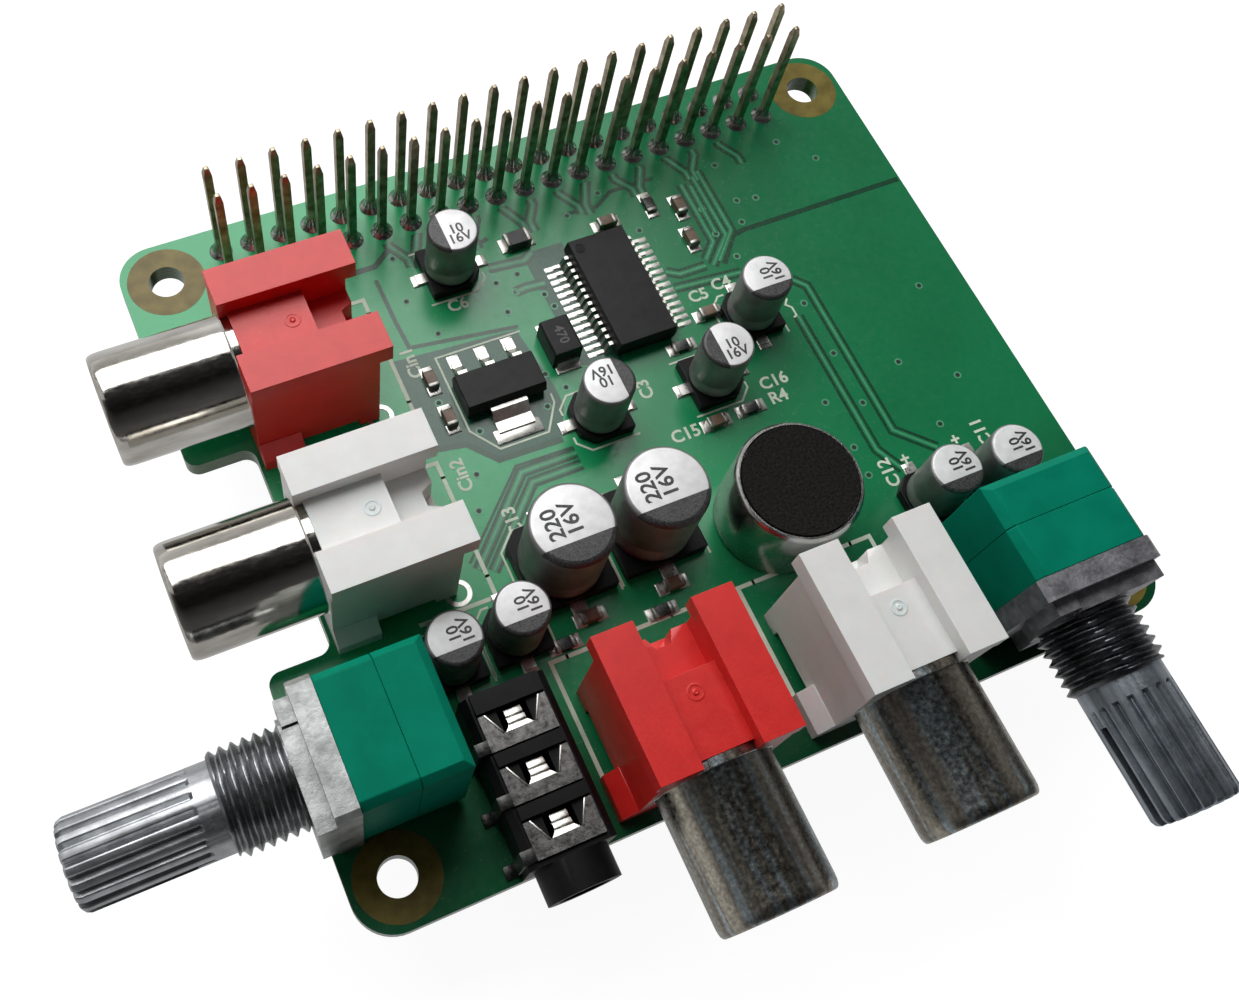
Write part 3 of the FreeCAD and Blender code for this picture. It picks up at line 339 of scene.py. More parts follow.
class Shape:
    """Gathers the points and faces of one piece, in millimetres; a mark is the number of a face's look."""

    def __init__(self):
        self.points = []
        self.faces = []
        self.marks = []

    def add(self, points, faces, mark=0, where=None):
        start = len(self.points)
        for point in points:
            point = Vector(point)
            self.points.append(where @ point if where else point)
        for face in faces:
            self.faces.append([start + index for index in face])
            self.marks.append(mark)

    def loft(self, rings, mark=0, where=None, closed=False):
        """Faces between rings of points; the ends are capped, or the last ring joins the first."""
        count = len(rings[0])
        points = [point for ring in rings for point in ring]
        faces = []
        for k in range(len(rings) if closed else len(rings) - 1):
            a, b = k * count, (k + 1) % len(rings) * count
            for i in range(count):
                j = (i + 1) % count
                faces.append([a + i, a + j, b + j, b + i])
        if not closed:
            faces.append(list(range(count))[::-1])
            faces.append([(len(rings) - 1) * count + i for i in range(count)])
        self.add(points, faces, mark, where)

    def prism(self, outline, low, high, mark=0, where=None):
        self.loft([[(x, y, height) for x, y in outline] for height in (low, high)], mark, where)

    def box(self, x, y, z, mark=0, where=None):
        self.prism([(x[0], y[0]), (x[1], y[0]), (x[1], y[1]), (x[0], y[1])], z[0], z[1], mark, where)

    def lathe(self, profile, where, steps, closed=False):
        """A turned form about Z: the profile is (radius, height)."""
        self.loft([circle(radius, height, steps) for radius, height in profile], 0, where, closed)

    def strip(self, path, width, low, high, mark=0):
        """A band of even width along a path of points on the board."""
        half = width / 2
        left, right = [], []
        for i, (x, y) in enumerate(path):
            ahead = Vector(path[min(i + 1, len(path) - 1)]) - Vector((x, y))
            behind = Vector((x, y)) - Vector(path[max(i - 1, 0)])
            ahead = ahead.normalized() if ahead.length else behind.normalized()
            behind = behind.normalized() if behind.length else ahead
            middle = (ahead + behind).normalized()
            reach = half / max(LEAST_MITRE, middle.dot(ahead))
            left.append((x - middle.y * reach, y + middle.x * reach))
            right.append((x + middle.y * reach, y - middle.x * reach))
        self.loft([[(*r, low), (*l, low), (*l, high), (*r, high)] for r, l in zip(right, left)], mark)

    def letters(self, text, height, where, thick, weight):
        """Plain lettering, centred on its place; weight is a share of its height."""
        curve = bpy.data.curves.new("letters", "FONT")
        curve.body = text
        curve.size = height * FONT_SCALE
        curve.align_x = "CENTER"
        curve.align_y = "CENTER"
        curve.resolution_u = FONT_RESOLUTION
        curve.offset = weight * height
        curve.extrude = thick / 2
        holder = linked("letters", curve)
        mesh = final_mesh(holder)
        self.add([v.co[:] for v in mesh.vertices], [list(p.vertices) for p in mesh.polygons], 0, where)
        bpy.data.objects.remove(holder)
        bpy.data.meshes.remove(mesh)
        bpy.data.curves.remove(curve)

    def mesh(self, name):
        mesh = bpy.data.meshes.new(name)
        mesh.from_pydata([point * MM for point in self.points], [], self.faces)
        mesh.polygons.foreach_set("material_index", self.marks)
        mesh.validate()
        return mesh


MERGE_GAP = 1e-5
WELD_GAP = 1e-4
SHARP_DEGREES = 35
ROUNDING_STEPS = 2
FLAT_WEIGHT = 60


def piece(name, shape, looks, body="board", replaces=(), smooth=32, bevel=0.0):
    """Makes a shape a piece that rides on a body; edges up to smooth, in degrees, are shaded round."""
    mesh = shape.mesh(name)
    made = linked(name, mesh)
    for look in looks:
        mesh.materials.append(look)
    work = bmesh.new()
    work.from_mesh(mesh)
    bmesh.ops.remove_doubles(work, verts=work.verts, dist=MERGE_GAP * MM)
    bmesh.ops.recalc_face_normals(work, faces=work.faces)
    work.to_mesh(mesh)
    work.free()
    mesh.polygons.foreach_set("use_smooth", [True] * len(mesh.polygons))
    mesh.set_sharp_from_angle(angle=math.radians(smooth))
    if bevel:
        soften(made, bevel)
    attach(made, body)
    if replaces:
        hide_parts(*replaces)


def soften(thing, radius):
    """Rounds the sharp edges of a solid."""
    weld = thing.modifiers.new("weld", "WELD")
    weld.merge_threshold = WELD_GAP * MM
    edge = thing.modifiers.new("rounding", "BEVEL")
    edge.width = radius * MM
    edge.segments = ROUNDING_STEPS
    edge.limit_method = "ANGLE"
    edge.angle_limit = math.radians(SHARP_DEGREES)
    even = thing.modifiers.new("even_normals", "WEIGHTED_NORMAL")
    even.weight = FLAT_WEIGHT


def millimetres(point):
    return Vector(point) / MM


def along(origin, axis):
    """The placing whose local Z runs out along an axis and whose local X stays level."""
    out = Vector(axis).normalized()
    side = Vector((0, 0, 1)).cross(out)
    turn = Matrix((side, out.cross(side), out)).transposed().to_4x4()
    return Matrix.Translation(origin) @ turn


def upright(x, y, z=BOARD_TOP, turn=0):
    """The placing of a part that stands on the board, turned about Z."""
    return Matrix.Translation((x, y, z)) @ Matrix.Rotation(math.radians(turn), 4, "Z")


def on_board(path, where):
    """A path of (x, y) moved by a placing."""
    return [(where @ Vector((x, y, 0)))[:2] for x, y in path]


Place = namedtuple("Place", "x y half low high")


def middle_of(node):
    """A node's box: its middle in X and Y, its half width, its lowest and highest Z."""
    low, high = (millimetres(corner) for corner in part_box(node))
    return Place((low.x + high.x) / 2, (low.y + high.y) / 2, (high.x - low.x) / 2, low.z, high.z)


# Phono sockets: turned sleeves with a rolled mouth, softened mouldings

PHONOS = ("left_red", "left_white", "front_red", "front_white")
SLEEVE_BORE = 3.7
LEAD_IN_WIDE = 0.08
LEAD_IN_DEEP = 0.1
FLANGE = 4.35
FLANGE_THICK = 0.6
FLANGE_EDGE = 0.06
# In from the sleeve's radius and back from its mouth
MOUTH_ROLL = [(0.3, 0), (0.19, 0.06), (0.09, 0.22), (0.025, 0.5), (0, 0.85)]
# Out from the sleeve's radius and up from the flange
FLANGE_CORNER = [(0, 0.1), (0.04, 0.02)]
TAB_HALF = 1.2
TAB_REACH = 3.0
TAB_THICK = 0.4
TAB_LAP = 0.05
TAB_END = -1.2
HOUSING_ROUNDING = 0.11
CHANNEL_DROP = 1.3
GATE_REACH = 4.7
# Radius and height
GATE_RING = [(0.42, -0.02), (0.44, 0.035), (0.52, 0.045), (0.6, 0.03), (0.62, -0.02)]
GATE_PIP = [(0.24, -0.02), (0.22, 0.04), (0.13, 0.09), (0.05, 0.07)]


def phono_seat(name):
    """The foot of a sleeve, its way out, and the placing whose local Y runs back from the mouth."""
    mount = mounts[name + "_phono_sleeve"]
    out = Vector(mount["axis"])
    base = millimetres(mount["pos_m"]) - out * mount["dims"]["length_mm"] / 2
    return base, out, upright(base.x, base.y, 0, 0 if out.y < 0 else -90)


def sleeve_shape(name):
    """The turned sleeve, and its soldering tab that runs back and then down through the board."""
    base, out, stand = phono_seat(name)
    dims = mounts[name + "_phono_sleeve"]["dims"]
    radius, length = dims["r_mm"], dims["length_mm"]
    shape = Shape()
    shape.lathe([(SLEEVE_BORE, -FLANGE_THICK), (SLEEVE_BORE, length - LEAD_IN_DEEP),
                 (SLEEVE_BORE + LEAD_IN_WIDE, length),
                 *((radius - inward, length - back) for inward, back in MOUTH_ROLL),
                 *((radius + outward, rise) for outward, rise in FLANGE_CORNER),
                 (FLANGE - FLANGE_EDGE, 0), (FLANGE, -FLANGE_EDGE), (FLANGE, -FLANGE_THICK)],
                along(base, out), MANY_STEPS, closed=True)
    drop = base.z - radius
    shape.box((-TAB_HALF, TAB_HALF), (0, TAB_REACH), (drop, drop + TAB_THICK), 0, stand)
    shape.box((INSET - TAB_HALF, TAB_HALF - INSET), (TAB_REACH - TAB_THICK, TAB_REACH - INSET),
              (TAB_END, drop + TAB_LAP), 0, stand)
    return shape


def gate_shape(name):
    """The mark that the mould's gate leaves in the channel of a housing: a ring round a pip."""
    stand = phono_seat(name)[2]
    floor_of_channel = middle_of(name + "_phono_housing").high - CHANNEL_DROP
    spot = stand @ Matrix.Translation((0, GATE_REACH, floor_of_channel))
    shape = Shape()
    shape.lathe(GATE_RING, spot, STEPS, closed=True)
    shape.lathe(GATE_PIP, spot, FEW_STEPS)
    return shape


for name in PHONOS:
    # The front sleeves take the darker copy of the plate: painted shade and painted reflections
    plate = NICKEL if name.startswith("left") else PLATE_PAINTED_SHADE
    plastic = "red_plastic" if "red" in name else "white_plastic"
    piece(name + "_sleeve", sleeve_shape(name), [plate], replaces=[name + "_phono_sleeve"])
    soften(nodes[name + "_phono_housing"], HOUSING_ROUNDING)
    piece(name + "_gate_mark", gate_shape(name), [SLOT_LOOKS[plastic]])


# Controls: cast frame with a cut thread, splined split shaft

BOSS = 1.2
BUSHING_BORE = 3.05
CORE_WALL = 0.02
CORE_SINK = 0.05
# A corner of the frame this close to a size or height counts as at it
NEAR = 0.01
THREAD_PITCH = 0.75
THREAD_DEPTH = 0.42
THREAD_STEPS = 72
THREAD_ROWS = 9
# How steep a flank is, and how much of it the flat crest takes
FLANK = 1.35
CREST = 0.12
CHAMFER = 0.35
CHAMFER_SLOPE = 0.7
CASE_ROUNDING = 0.14


def threaded(shape, where, radius, start, end):
    """A helical thread between two heights, chamfered at its end: a closed collar round the core."""
    count = int((end - start) / THREAD_PITCH * THREAD_ROWS)
    rings = [circle(radius, start - CORE_SINK, THREAD_STEPS)]
    for k in range(1, count + 1):
        height = start + (end - start) * k / count
        limit = radius - max(0, height - end + CHAMFER) * CHAMFER_SLOPE
        ring = []
        for i, (x, y, z) in enumerate(circle(1, height, THREAD_STEPS)):
            phase = (height / THREAD_PITCH + i / THREAD_STEPS) % 1
            depth = THREAD_DEPTH * min(1, max(0, FLANK * (1 - abs(2 * phase - 1)) - CREST))
            r = min(radius - depth, limit)
            ring.append((r * x, r * y, z))
        rings.append(ring)
    core = BUSHING_BORE + CORE_WALL / 2
    for r, height in ((BUSHING_BORE, end), (core, end - 2 * CORE_SINK), (core, start - CORE_SINK)):
        rings.append(circle(r, height, THREAD_STEPS))
    shape.loft(rings, 1, where, closed=True)


def cored_frame(node, where, radius, end):
    """The frame's own faces, with the plain outside of its bushing drawn in to a core for the thread."""
    back = where.inverted()
    mesh = nodes[node].data
    core = BUSHING_BORE + CORE_WALL
    points = []
    for vertex in mesh.vertices:
        spot = back @ millimetres(vertex.co)
        reach = math.hypot(spot.x, spot.y)
        if spot.z > BOSS - NEAR and core < reach < radius + NEAR:
            share = core / reach
            spot.x, spot.y = spot.x * share, spot.y * share
        if spot.z > end - NEAR:
            spot.z = end - CORE_SINK
        points.append(where @ spot)
    shape = Shape()
    shape.add(points, [list(face.vertices) for face in mesh.polygons])
    return shape


TEETH = 18
# Share of a tooth's turn and radius there
TOOTH = [(0.1, 2.6), (0.18, 2.6), (0.25, 2.7), (0.36, 2.93), (0.44, 2.99), (0.64, 3.0), (0.84, 2.99),
         (0.92, 2.93)]
SHAFT_RADIUS = 3.0
SHAFT_FOOT = -1.3
SHAFT_END = 15.4
SPLINE_START = 7.2
# Height, depth of the teeth and size of each section
SHAFT_SECTIONS = [(SHAFT_FOOT, 0, 1.0), (SPLINE_START, 0, 1.0), (SPLINE_START + 0.22, 1, 1.0),
                  (SHAFT_END - 0.45, 1, 1.0), (SHAFT_END - 0.12, 1, 0.955), (SHAFT_END, 1, 0.9)]
CORE_HALF = 1.15
CORE_FOOT = -7.8
SPLIT_HALF = 0.4
SPLIT_DEPTH = 7.0
SPLIT_REACH = 4.0
SPLIT_PAST = 1.0


def spline_ring(height, depth, size):
    """The toothed section at a height: depth 0 is a round bar, 1 the full tooth."""
    ring = []
    for tooth in range(TEETH):
        for share, radius in TOOTH:
            angle = WHOLE_TURN * (tooth + share) / TEETH
            r = (SHAFT_RADIUS - (SHAFT_RADIUS - radius) * depth) * size
            ring.append((r * math.cos(angle), r * math.sin(angle), height))
    return ring


def cut_from(mesh, cutter):
    """The first mesh less the second."""
    things = [linked("kept", mesh), linked("cutter", cutter)]
    step = things[0].modifiers.new("cut", "BOOLEAN")
    step.operation = "DIFFERENCE"
    step.solver = "EXACT"
    step.object = things[1]
    made = final_mesh(things[0])
    for thing in things:
        bpy.data.objects.remove(thing)
    return made


def shaft_shape(where):
    """The splined shaft with a saw slot in its end, and the square core that carries the wipers."""
    bar = Shape()
    bar.loft([spline_ring(*section) for section in SHAFT_SECTIONS], 0, where)
    saw = Shape()
    saw.box((-SPLIT_REACH, SPLIT_REACH), (-SPLIT_HALF, SPLIT_HALF),
            (SHAFT_END - SPLIT_DEPTH, SHAFT_END + SPLIT_PAST), 0, where)
    split = cut_from(bar.mesh("bar"), saw.mesh("saw"))
    shape = Shape()
    shape.add([millimetres(v.co) for v in split.vertices], [list(p.vertices) for p in split.polygons])
    shape.box((-CORE_HALF, CORE_HALF), (-CORE_HALF, CORE_HALF), (CORE_FOOT, SHAFT_FOOT), 0, where)
    return shape


for side, casting, thread, steel in (("left", CAST_LIGHT, CUT_THREAD, SHAFT),
                                     ("right", CAST_DARK, DARK_THREAD, DARK_SHAFT)):
    joint = joints[side + "_control_turn"]
    where = along(millimetres(joint["pos_m"]), joint["axis"])
    bushing = mounts[side + "_pot_bushing"]["dims"]
    end = BOSS + bushing["length_mm"]
    casing = cored_frame(side + "_pot_frame", where, bushing["r_mm"], end)
    threaded(casing, where, bushing["r_mm"], BOSS, end)
    piece(side + "_cast_frame", casing, [casting, thread], replaces=[side + "_pot_frame"],
          smooth=40)
    piece(side + "_split_shaft", shaft_shape(where), [steel], body=side + "_shaft",
          replaces=[side + "_pot_shaft"], smooth=24)
    for part in ("front_case", "rear_case"):
        soften(nodes["%s_pot_%s" % (side, part)], CASE_ROUNDING)


# Capacitors: cans with a crimped foot and a rounded top, printed end segment and rating

# The turn of each about Z in degrees: at 0 the dark segment is on the left
LARGE = {"large_a": 90, "large_b": 90}
SMALL = {"small_a": 0, "small_b": 90, "small_c": 0, "small_d": 180, "small_e": 90, "small_f": 90,
         "small_g": 90, "small_h": 90}
# The lines of each rating, their places as shares of the radius, and the height of the letters
RATINGS = ((LARGE, ("220", "16V"), (0.42, -0.02), 1.15), (SMALL, ("10", "16V"), (-0.02, -0.45), 0.84))
RATING_ASIDE = 0.12
RATING_WEIGHT = 0.03
INK = 0.012
CAN_STEPS = 64
FOOT_INWARD = 0.12
FOOT_RISE = 0.15
CRIMP_SHARE = 0.24
CRIMP_DEPTH = 0.13
CRIMP_HALF = 0.32
CRIMP_FLAT = 0.1
EDGE_SHARE = 0.13
EDGE_ANGLES = (0.3, 0.6, 0.9, 1.2, math.pi / 2)
SEGMENT_CHORD = -0.4
SEGMENT_STEPS = 24
SEGMENT_LAP = 0.004
SEGMENT_ANGLES = (0, 0.4, 0.8, 1.2, math.pi / 2)


def can_shape(place):
    """A can with a crimp near its foot; its top and the last band of the rounding are bright."""
    radius, low, high = place.half, place.low, place.high
    edge = EDGE_SHARE * radius
    crimp = low + CRIMP_SHARE * (high - low)
    profile = [(radius - FOOT_INWARD, low), (radius, low + FOOT_RISE), (radius, crimp - CRIMP_HALF),
               (radius - CRIMP_DEPTH, crimp - CRIMP_FLAT), (radius - CRIMP_DEPTH, crimp + CRIMP_FLAT),
               (radius, crimp + CRIMP_HALF), (radius, high - edge)]
    profile += [(radius - edge * (1 - math.cos(a)), high - edge * (1 - math.sin(a))) for a in EDGE_ANGLES]
    shape = Shape()
    shape.lathe(profile, upright(place.x, place.y, 0), CAN_STEPS)
    # The faces come band by band, then the lower and the upper end
    for face in (-1, *range(-2 - CAN_STEPS, -2)):
        shape.marks[face] = 1
    return shape


def printed_top(place, turn, lines, rows, height):
    """The dark negative segment, over the rounded edge too, and the rating beside it."""
    where = upright(place.x, place.y, place.high, turn)
    edge = EDGE_SHARE * place.half
    flat = place.half - edge
    chord = SEGMENT_CHORD * place.half

    def arc(r):
        """Angles at a radius, from one end of the chord to the other."""
        start = math.acos(chord / r)
        return [start + (WHOLE_TURN - 2 * start) * i / SEGMENT_STEPS for i in range(SEGMENT_STEPS + 1)]

    shape = Shape()
    lap = flat + SEGMENT_LAP
    shape.prism([(lap * math.cos(a), lap * math.sin(a)) for a in arc(lap)], 0, INK, 0, where)
    section = []
    for bend, angles in ((edge + INK, SEGMENT_ANGLES), (edge - INK, SEGMENT_ANGLES[::-1])):
        section += [(flat + bend * math.cos(a), bend * math.sin(a) - edge) for a in angles]
    lengthwise = [[(r * math.cos(a), r * math.sin(a), z) for a in arc(r)] for r, z in section]
    shape.loft(list(zip(*lengthwise)), 0, where)
    for line, row in zip(lines, rows):
        spot = Matrix.Translation((RATING_ASIDE * place.half, row * place.half, INK / 2))
        shape.letters(line, height, where @ spot, INK, RATING_WEIGHT)
    return shape


for family, lines, rows, height in RATINGS:
    for name, turn in family.items():
        node = "capacitor_can_" + name
        place = middle_of(node)
        piece("can_" + name, can_shape(place), [CAN, CAN_TOP], replaces=[node])
        piece("rating_" + name, printed_top(place, turn, lines, rows, height), [PRINT])


# Microphone: drawn can with a rolled rim round its felt

# In from the can's radius and up from its foot, then in and down from its top
MIC_FOOT = [(0.25, 0), (0.06, 0.08), (0, 0.3)]
MIC_RIM = [(0, 0.42), (0.04, 0.24), (0.13, 0.09), (0.25, 0)]
FELT_ROOM = 4.3
FELT_SINK = 0.4
FELT_EDGE = 0.08


def mic_shape(place):
    shape = Shape()
    shape.lathe([*((place.half - inward, place.low + rise) for inward, rise in MIC_FOOT),
                 *((place.half - inward, place.high - down) for inward, down in MIC_RIM),
                 (FELT_ROOM + FELT_EDGE, place.high), (FELT_ROOM, place.high - FELT_EDGE),
                 (FELT_ROOM, place.high - FELT_SINK)], upright(place.x, place.y, 0), MANY_STEPS)
    return shape


piece("mic_can", mic_shape(middle_of("microphone_can")), [MIC_METAL],
      replaces=["microphone_can"])


# Jack contacts: stamped fork with a ribbed spring finger dipping into the window, strap and foot

JACK_CONTACTS = ("sleeve", "ring", "tip")
JACK_X = middle_of("audio_jack_body").x
FIRST_CONTACT = FRONT_EDGE + 0.4
CONTACT_PITCH = 3.68
DECK = 4.7
BLADE_THICK = 0.3
FORK_HALF = 2.425
PRONG_X = 1.925
PRONG_Y = 2.5
ROOT_X = 1.1
ROOT_Y = 0.95
HALF_FORK = [(FORK_HALF, 0), (FORK_HALF, PRONG_Y), (PRONG_X, PRONG_Y), (ROOT_X, ROOT_Y)]
FORK = HALF_FORK + [(-x, y) for x, y in HALF_FORK[::-1]]
# Bright edges beside the window: raised strips in the bright tin, a painted highlight
RIM = 0.07
RIM_OUTLINE = [(ROOT_X - INSET, ROOT_Y - INSET), (ROOT_X + 2 * RIM, ROOT_Y - INSET),
               (PRONG_X + RIM, PRONG_Y - INSET), (PRONG_X - 3 * INSET, PRONG_Y - INSET)]
# Half width, place and rise of each section of the finger, with two grooves across it
FINGER = [(1.05, 0.9, 0.0), (0.68, 1.28, -0.07), (0.67, 1.3, -0.3), (0.66, 1.42, -0.31),
          (0.65, 1.44, -0.1), (0.63, 1.76, -0.17), (0.62, 1.78, -0.4), (0.62, 1.9, -0.41),
          (0.62, 1.92, -0.2), (0.6, 2.36, -0.3), (0.6, 2.46, -0.55)]
FINGER_THICK = 0.2
# Spans in X, Y and Z of the strap's top, its side and its foot
STRAP = [((-3.34, -2.4), (0.03, 0.92), (DECK + 0.01, DECK + 0.28)),
         ((-3.36, -3.1), (0.02, 0.93), (0.01, DECK + 0.26)),
         ((-4.05, -3.33), (0.04, 0.91), (0, 0.25))]
CONTACT_ROUNDING = 0.05


def contact_shape(where):
    top = DECK + BLADE_THICK
    shape = Shape()
    shape.prism(FORK, DECK, top, 0, where)
    sections = []
    for half, y, rise in FINGER:
        low, high = top + rise - FINGER_THICK, top + rise
        sections.append([(-half, y, low), (half, y, low), (half, y, high), (-half, y, high)])
    # The ribbed finger is in the bright tin: painted highlight
    shape.loft(sections, 2, where)
    # The rims are in the bright tin: painted highlight
    for side in SIDES:
        rim = [(side * x, y) for x, y in RIM_OUTLINE]
        shape.prism(rim[::side], DECK + 2 * INSET, top + RIM, 2, where)
    # The strap is in the dark tin: painted shade
    for spans in STRAP:
        shape.box(*spans, 1, where)
    return shape


for step, name in enumerate(JACK_CONTACTS):
    where = upright(JACK_X, FIRST_CONTACT + CONTACT_PITCH * step)
    piece("jack_contact_" + name, contact_shape(where), [BLADE, TIN_PAINTED_SHADE, TIN],
          replaces=["audio_jack_%s_contact" % name], smooth=25, bevel=CONTACT_ROUNDING)


# Print on the board: hole rings, copper under the mask, vias, white outlines and part numbers

RISES = {"bare": 0.004, "channel": 0.008, "copper": 0.014, "edge": 0.02, "ink": 0.03}
LAYER = {name: (BOARD_TOP, BOARD_TOP + rise) for name, rise in RISES.items()}
HOLE_X = 29.0
HOLE_Y = 24.5
HOLE_RING = (1.38, 3.05)
RING_STEPS = 40


def flat_ring(shape, x, y, inner, outer, low, high, steps=RING_STEPS):
    profile = [(inner, low), (outer, low), (outer, high), (inner, high)]
    shape.lathe(profile, upright(x, y, 0), steps, closed=True)


# The rings are on the board's top and on its underside
hole_rings = Shape()
for x in (-HOLE_X, HOLE_X):
    for y in (-HOLE_Y, HOLE_Y):
        for low in (BOARD_TOP, -RISES["channel"]):
            flat_ring(hole_rings, x, y, *HOLE_RING, low, low + RISES["channel"])
piece("hole_rings", hole_rings, [BARE_RING])

# Places are (x, y) on the board; a covered trace has a channel on each side
TRACES = [
    [(17.3, 4.0), (17.3, -8.9), (18.4, -11.1)],
    [(18.5, 7.3), (19.4, 6.3), (19.4, -7.9), (22.0, -10.5)],
    [(-4.9, -0.65), (-9.5, -0.65), (-15.6, -6.7)],
    [(-4.9, -1.7), (-9.05, -1.7), (-14.6, -7.2)],
    [(14.0, 19.0), (14.0, 12.9), (12.6, 11.5)],
    [(14.7, 18.6), (14.6, 13.6)],
    [(15.3, 19.4), (15.3, 13.1), (12.9, 10.8)],
    [(15.95, 19.8), (15.95, 13.4), (13.6, 11.0)],
    [(8.9, 11.6), (9.9, 11.0), (12.3, 11.0)],
    [(8.9, 9.9), (14.8, 9.4)],
    [(-3.5, 14.1), (-2.5, 14.2), (-0.9, 14.05)],
    [(-4.7, 16.9), (-1.6, 16.6), (-0.8, 17.1)],
]
# Short traces fan out from the header's near row, by turns right and left
FAN_COLUMNS = range(-5, 8)
FAN_RIGHT = 1.0
FAN_LEFT = -0.9
FAN_LEAVE = (21.4, 0.25)
FAN_BEND = 20.0
FAN_END = (18.9, 0.3)
for column in FAN_COLUMNS:
    pin_x = (column + 0.5) * HEADER_PITCH
    end_x = pin_x + (FAN_RIGHT if column % 2 else FAN_LEFT)
    leave_y = FAN_LEAVE[0] + FAN_LEAVE[1] * (column % 3)
    end_y = FAN_END[0] + FAN_END[1] * (column % 2)
    TRACES.append([(pin_x, HEADER_Y - HEADER_PITCH), (pin_x, leave_y), (end_x, FAN_BEND), (end_x, end_y)])
# Layer and width of the three bands of a trace
TRACE_BANDS = (("channel", 0.95), ("copper", 0.42), ("edge", 0.12))
# Paths and widths
CHANNELS = [
    ([(13.9, 10.6), (15.8, 12.8), (16.9, 13.06), (32.3, 13.1)], 0.45),
    ([(-16.0, 3.6), (-12.5, 3.0), (-10.65, 0.9), (-5.4, 0.75)], 0.5),
    ([(-4.9, -0.15), (-9.7, -0.02), (-16.0, -6.0)], 0.22),
    ([(-13.6, 19.0), (-13.55, 14.8), (-13.4, 12.3), (-4.6, 11.1)], 0.35),
    ([(-15.2, 20.2), (-13.2, 20.2), (-11.2, 21.6)], 0.5),
    ([(-6.6, 20.4), (-5.0, 19.2), (-3.6, 19.6)], 0.4),
    ([(3.2, 19.6), (6.2, 19.4), (8.0, 20.4), (12.0, 20.4)], 0.35),
]
BARE_PATCHES = [
    [(-15.2, 11.6), (-15.4, 3.5), (-12.4, 3.1), (-10.55, 1.0), (-5.4, 0.9), (-4.1, 3.4), (-4.1, 5.2),
     (-4.9, 10.9)],
    [(-1.6, 17.2), (-1.4, 6.2), (0.6, 5.2), (2.0, 5.0), (2.0, 17.2)],
]
# Bands that cross differ by this in height, so that no two tops share a plane
STEP_UP = 0.0001
copper = Shape()
for count, path in enumerate(TRACES):
    for mark, (layer, width) in enumerate(TRACE_BANDS):
        low, high = LAYER[layer]
        copper.strip(path, width, low, high + STEP_UP * count, mark)
for count, (path, width) in enumerate(CHANNELS):
    low, high = LAYER["channel"]
    copper.strip(path, width, low, high - STEP_UP * (count + 1))
for outline in BARE_PATCHES:
    copper.prism(outline, *LAYER["bare"], 3)
piece("covered_copper", copper, [GAP, TRACE, PALE, BARE])

VIAS = [
    (-10.8, 12.7), (-13.1, 7.0), (-11.1, 3.65), (-5.35, 3.75), (-4.35, 6.4), (-3.3, 4.75), (-12.75, 0.4),
    (-13.75, -2.4), (18.35, 4.9), (18.35, -0.1), (18.35, -4.9), (15.5, -3.8), (15.7, -8.1), (15.6, -10.6),
    (17.7, 19.8), (14.6, 16.1), (14.55, 13.5), (19.5, 15.6), (17.8, 15.9), (17.2, 13.8), (15.2, 10.9),
    (8.6, 16.0), (-11.6, 20.4), (-12.05, 16.3), (-4.85, 12.6), (-4.65, 15.4), (-2.7, 15.6), (-3.45, 14.1),
    (-1.4, 13.1), (-1.1, 11.8), (23.0, -2.7), (23.3, -8.8), (26.5, 17.5), (24.0, 20.2), (28.4, 3.0),
    (27.0, -5.5), (10.5, -6.0), (3.5, 19.4), (6.9, 20.6),
]
VIA_RING = (0.19, 0.33)
VIA_BORE = 0.2
VIA_SIDES = 16
vias = Shape()
for x, y in VIAS:
    flat_ring(vias, x, y, *VIA_RING, *LAYER["copper"], FEW_STEPS)
    # The hole is a dark disc on the board: painted shade
    bore = [(x + across, y + deep) for across, deep, _ in circle(VIA_BORE, 0, VIA_SIDES)]
    vias.prism(bore, *LAYER["channel"], 1)
piece("vias", vias, [PALE, VIA_PAINTED_SHADE])

OUTLINE = 0.32
FINE = 0.16
# Paths round a phono socket, from the foot of its sleeve
PHONO_OUTLINE = ([(-5.5, 1.2), (-5.5, 12.0), (-4.1, 12.0)], [(-4.3, 12.0), (4.3, 12.0)],
                 [(4.1, 12.0), (5.9, 12.0), (5.9, 6.0)])
# Paths round the regulator and beside a small capacitor
FINE_OUTLINES = (
    [(-4.65, 10.65), (-11.86, 10.7), (-11.82, 3.9), (-10.2, 1.7), (-6.15, 1.7), (-4.7, 3.9), (-4.66, 4.7)],
    [(17.2, 5.8), (16.8, 5.3), (17.2, 4.9), (17.2, 4.1), (16.9, 4.0)],
)
LARGE_OUTLINE = 3.6
SMALL_OUTLINE = 2.5
CUT_CORNER = 0.62
OUTLINE_STOP = 0.4
# Capacitors without a white outline
BARE_AROUND = ("small_g", "small_h")
# Part numbers with their places and turns
MARKS = [
    ("C6", -8.3, 14.6, 0), ("C15", 3.75, -2.3, 0), ("C16", 12.5, -0.6, 0), ("R4", 12.2, -2.0, 0),
    ("C3", 2.5, 2.4, 90), ("C12", 17.25, -11.0, 90), ("C11", 26.1, -10.6, 90), ("Cin2", -13.8, 0.75, 90),
    ("C13", -11.7, -4.1, 90), ("Cin1", -13.75, 11.0, 90), ("C4", 12.7, 9.0, 0), ("C5", 10.4, 8.6, 0),
    ("+", 23.7, -10.5, 0), ("+", 19.0, -10.5, 0),
]
MARK_HEIGHT = 1.05
MARK_RISE = 0.018
MARK_THICK = 0.02
MARK_WEIGHT = 0.035
ink = Shape()
for name in PHONOS:
    for path in PHONO_OUTLINE:
        ink.strip(on_board(path, phono_seat(name)[2]), OUTLINE, *LAYER["ink"])
for path in FINE_OUTLINES:
    ink.strip(path, FINE, *LAYER["ink"])
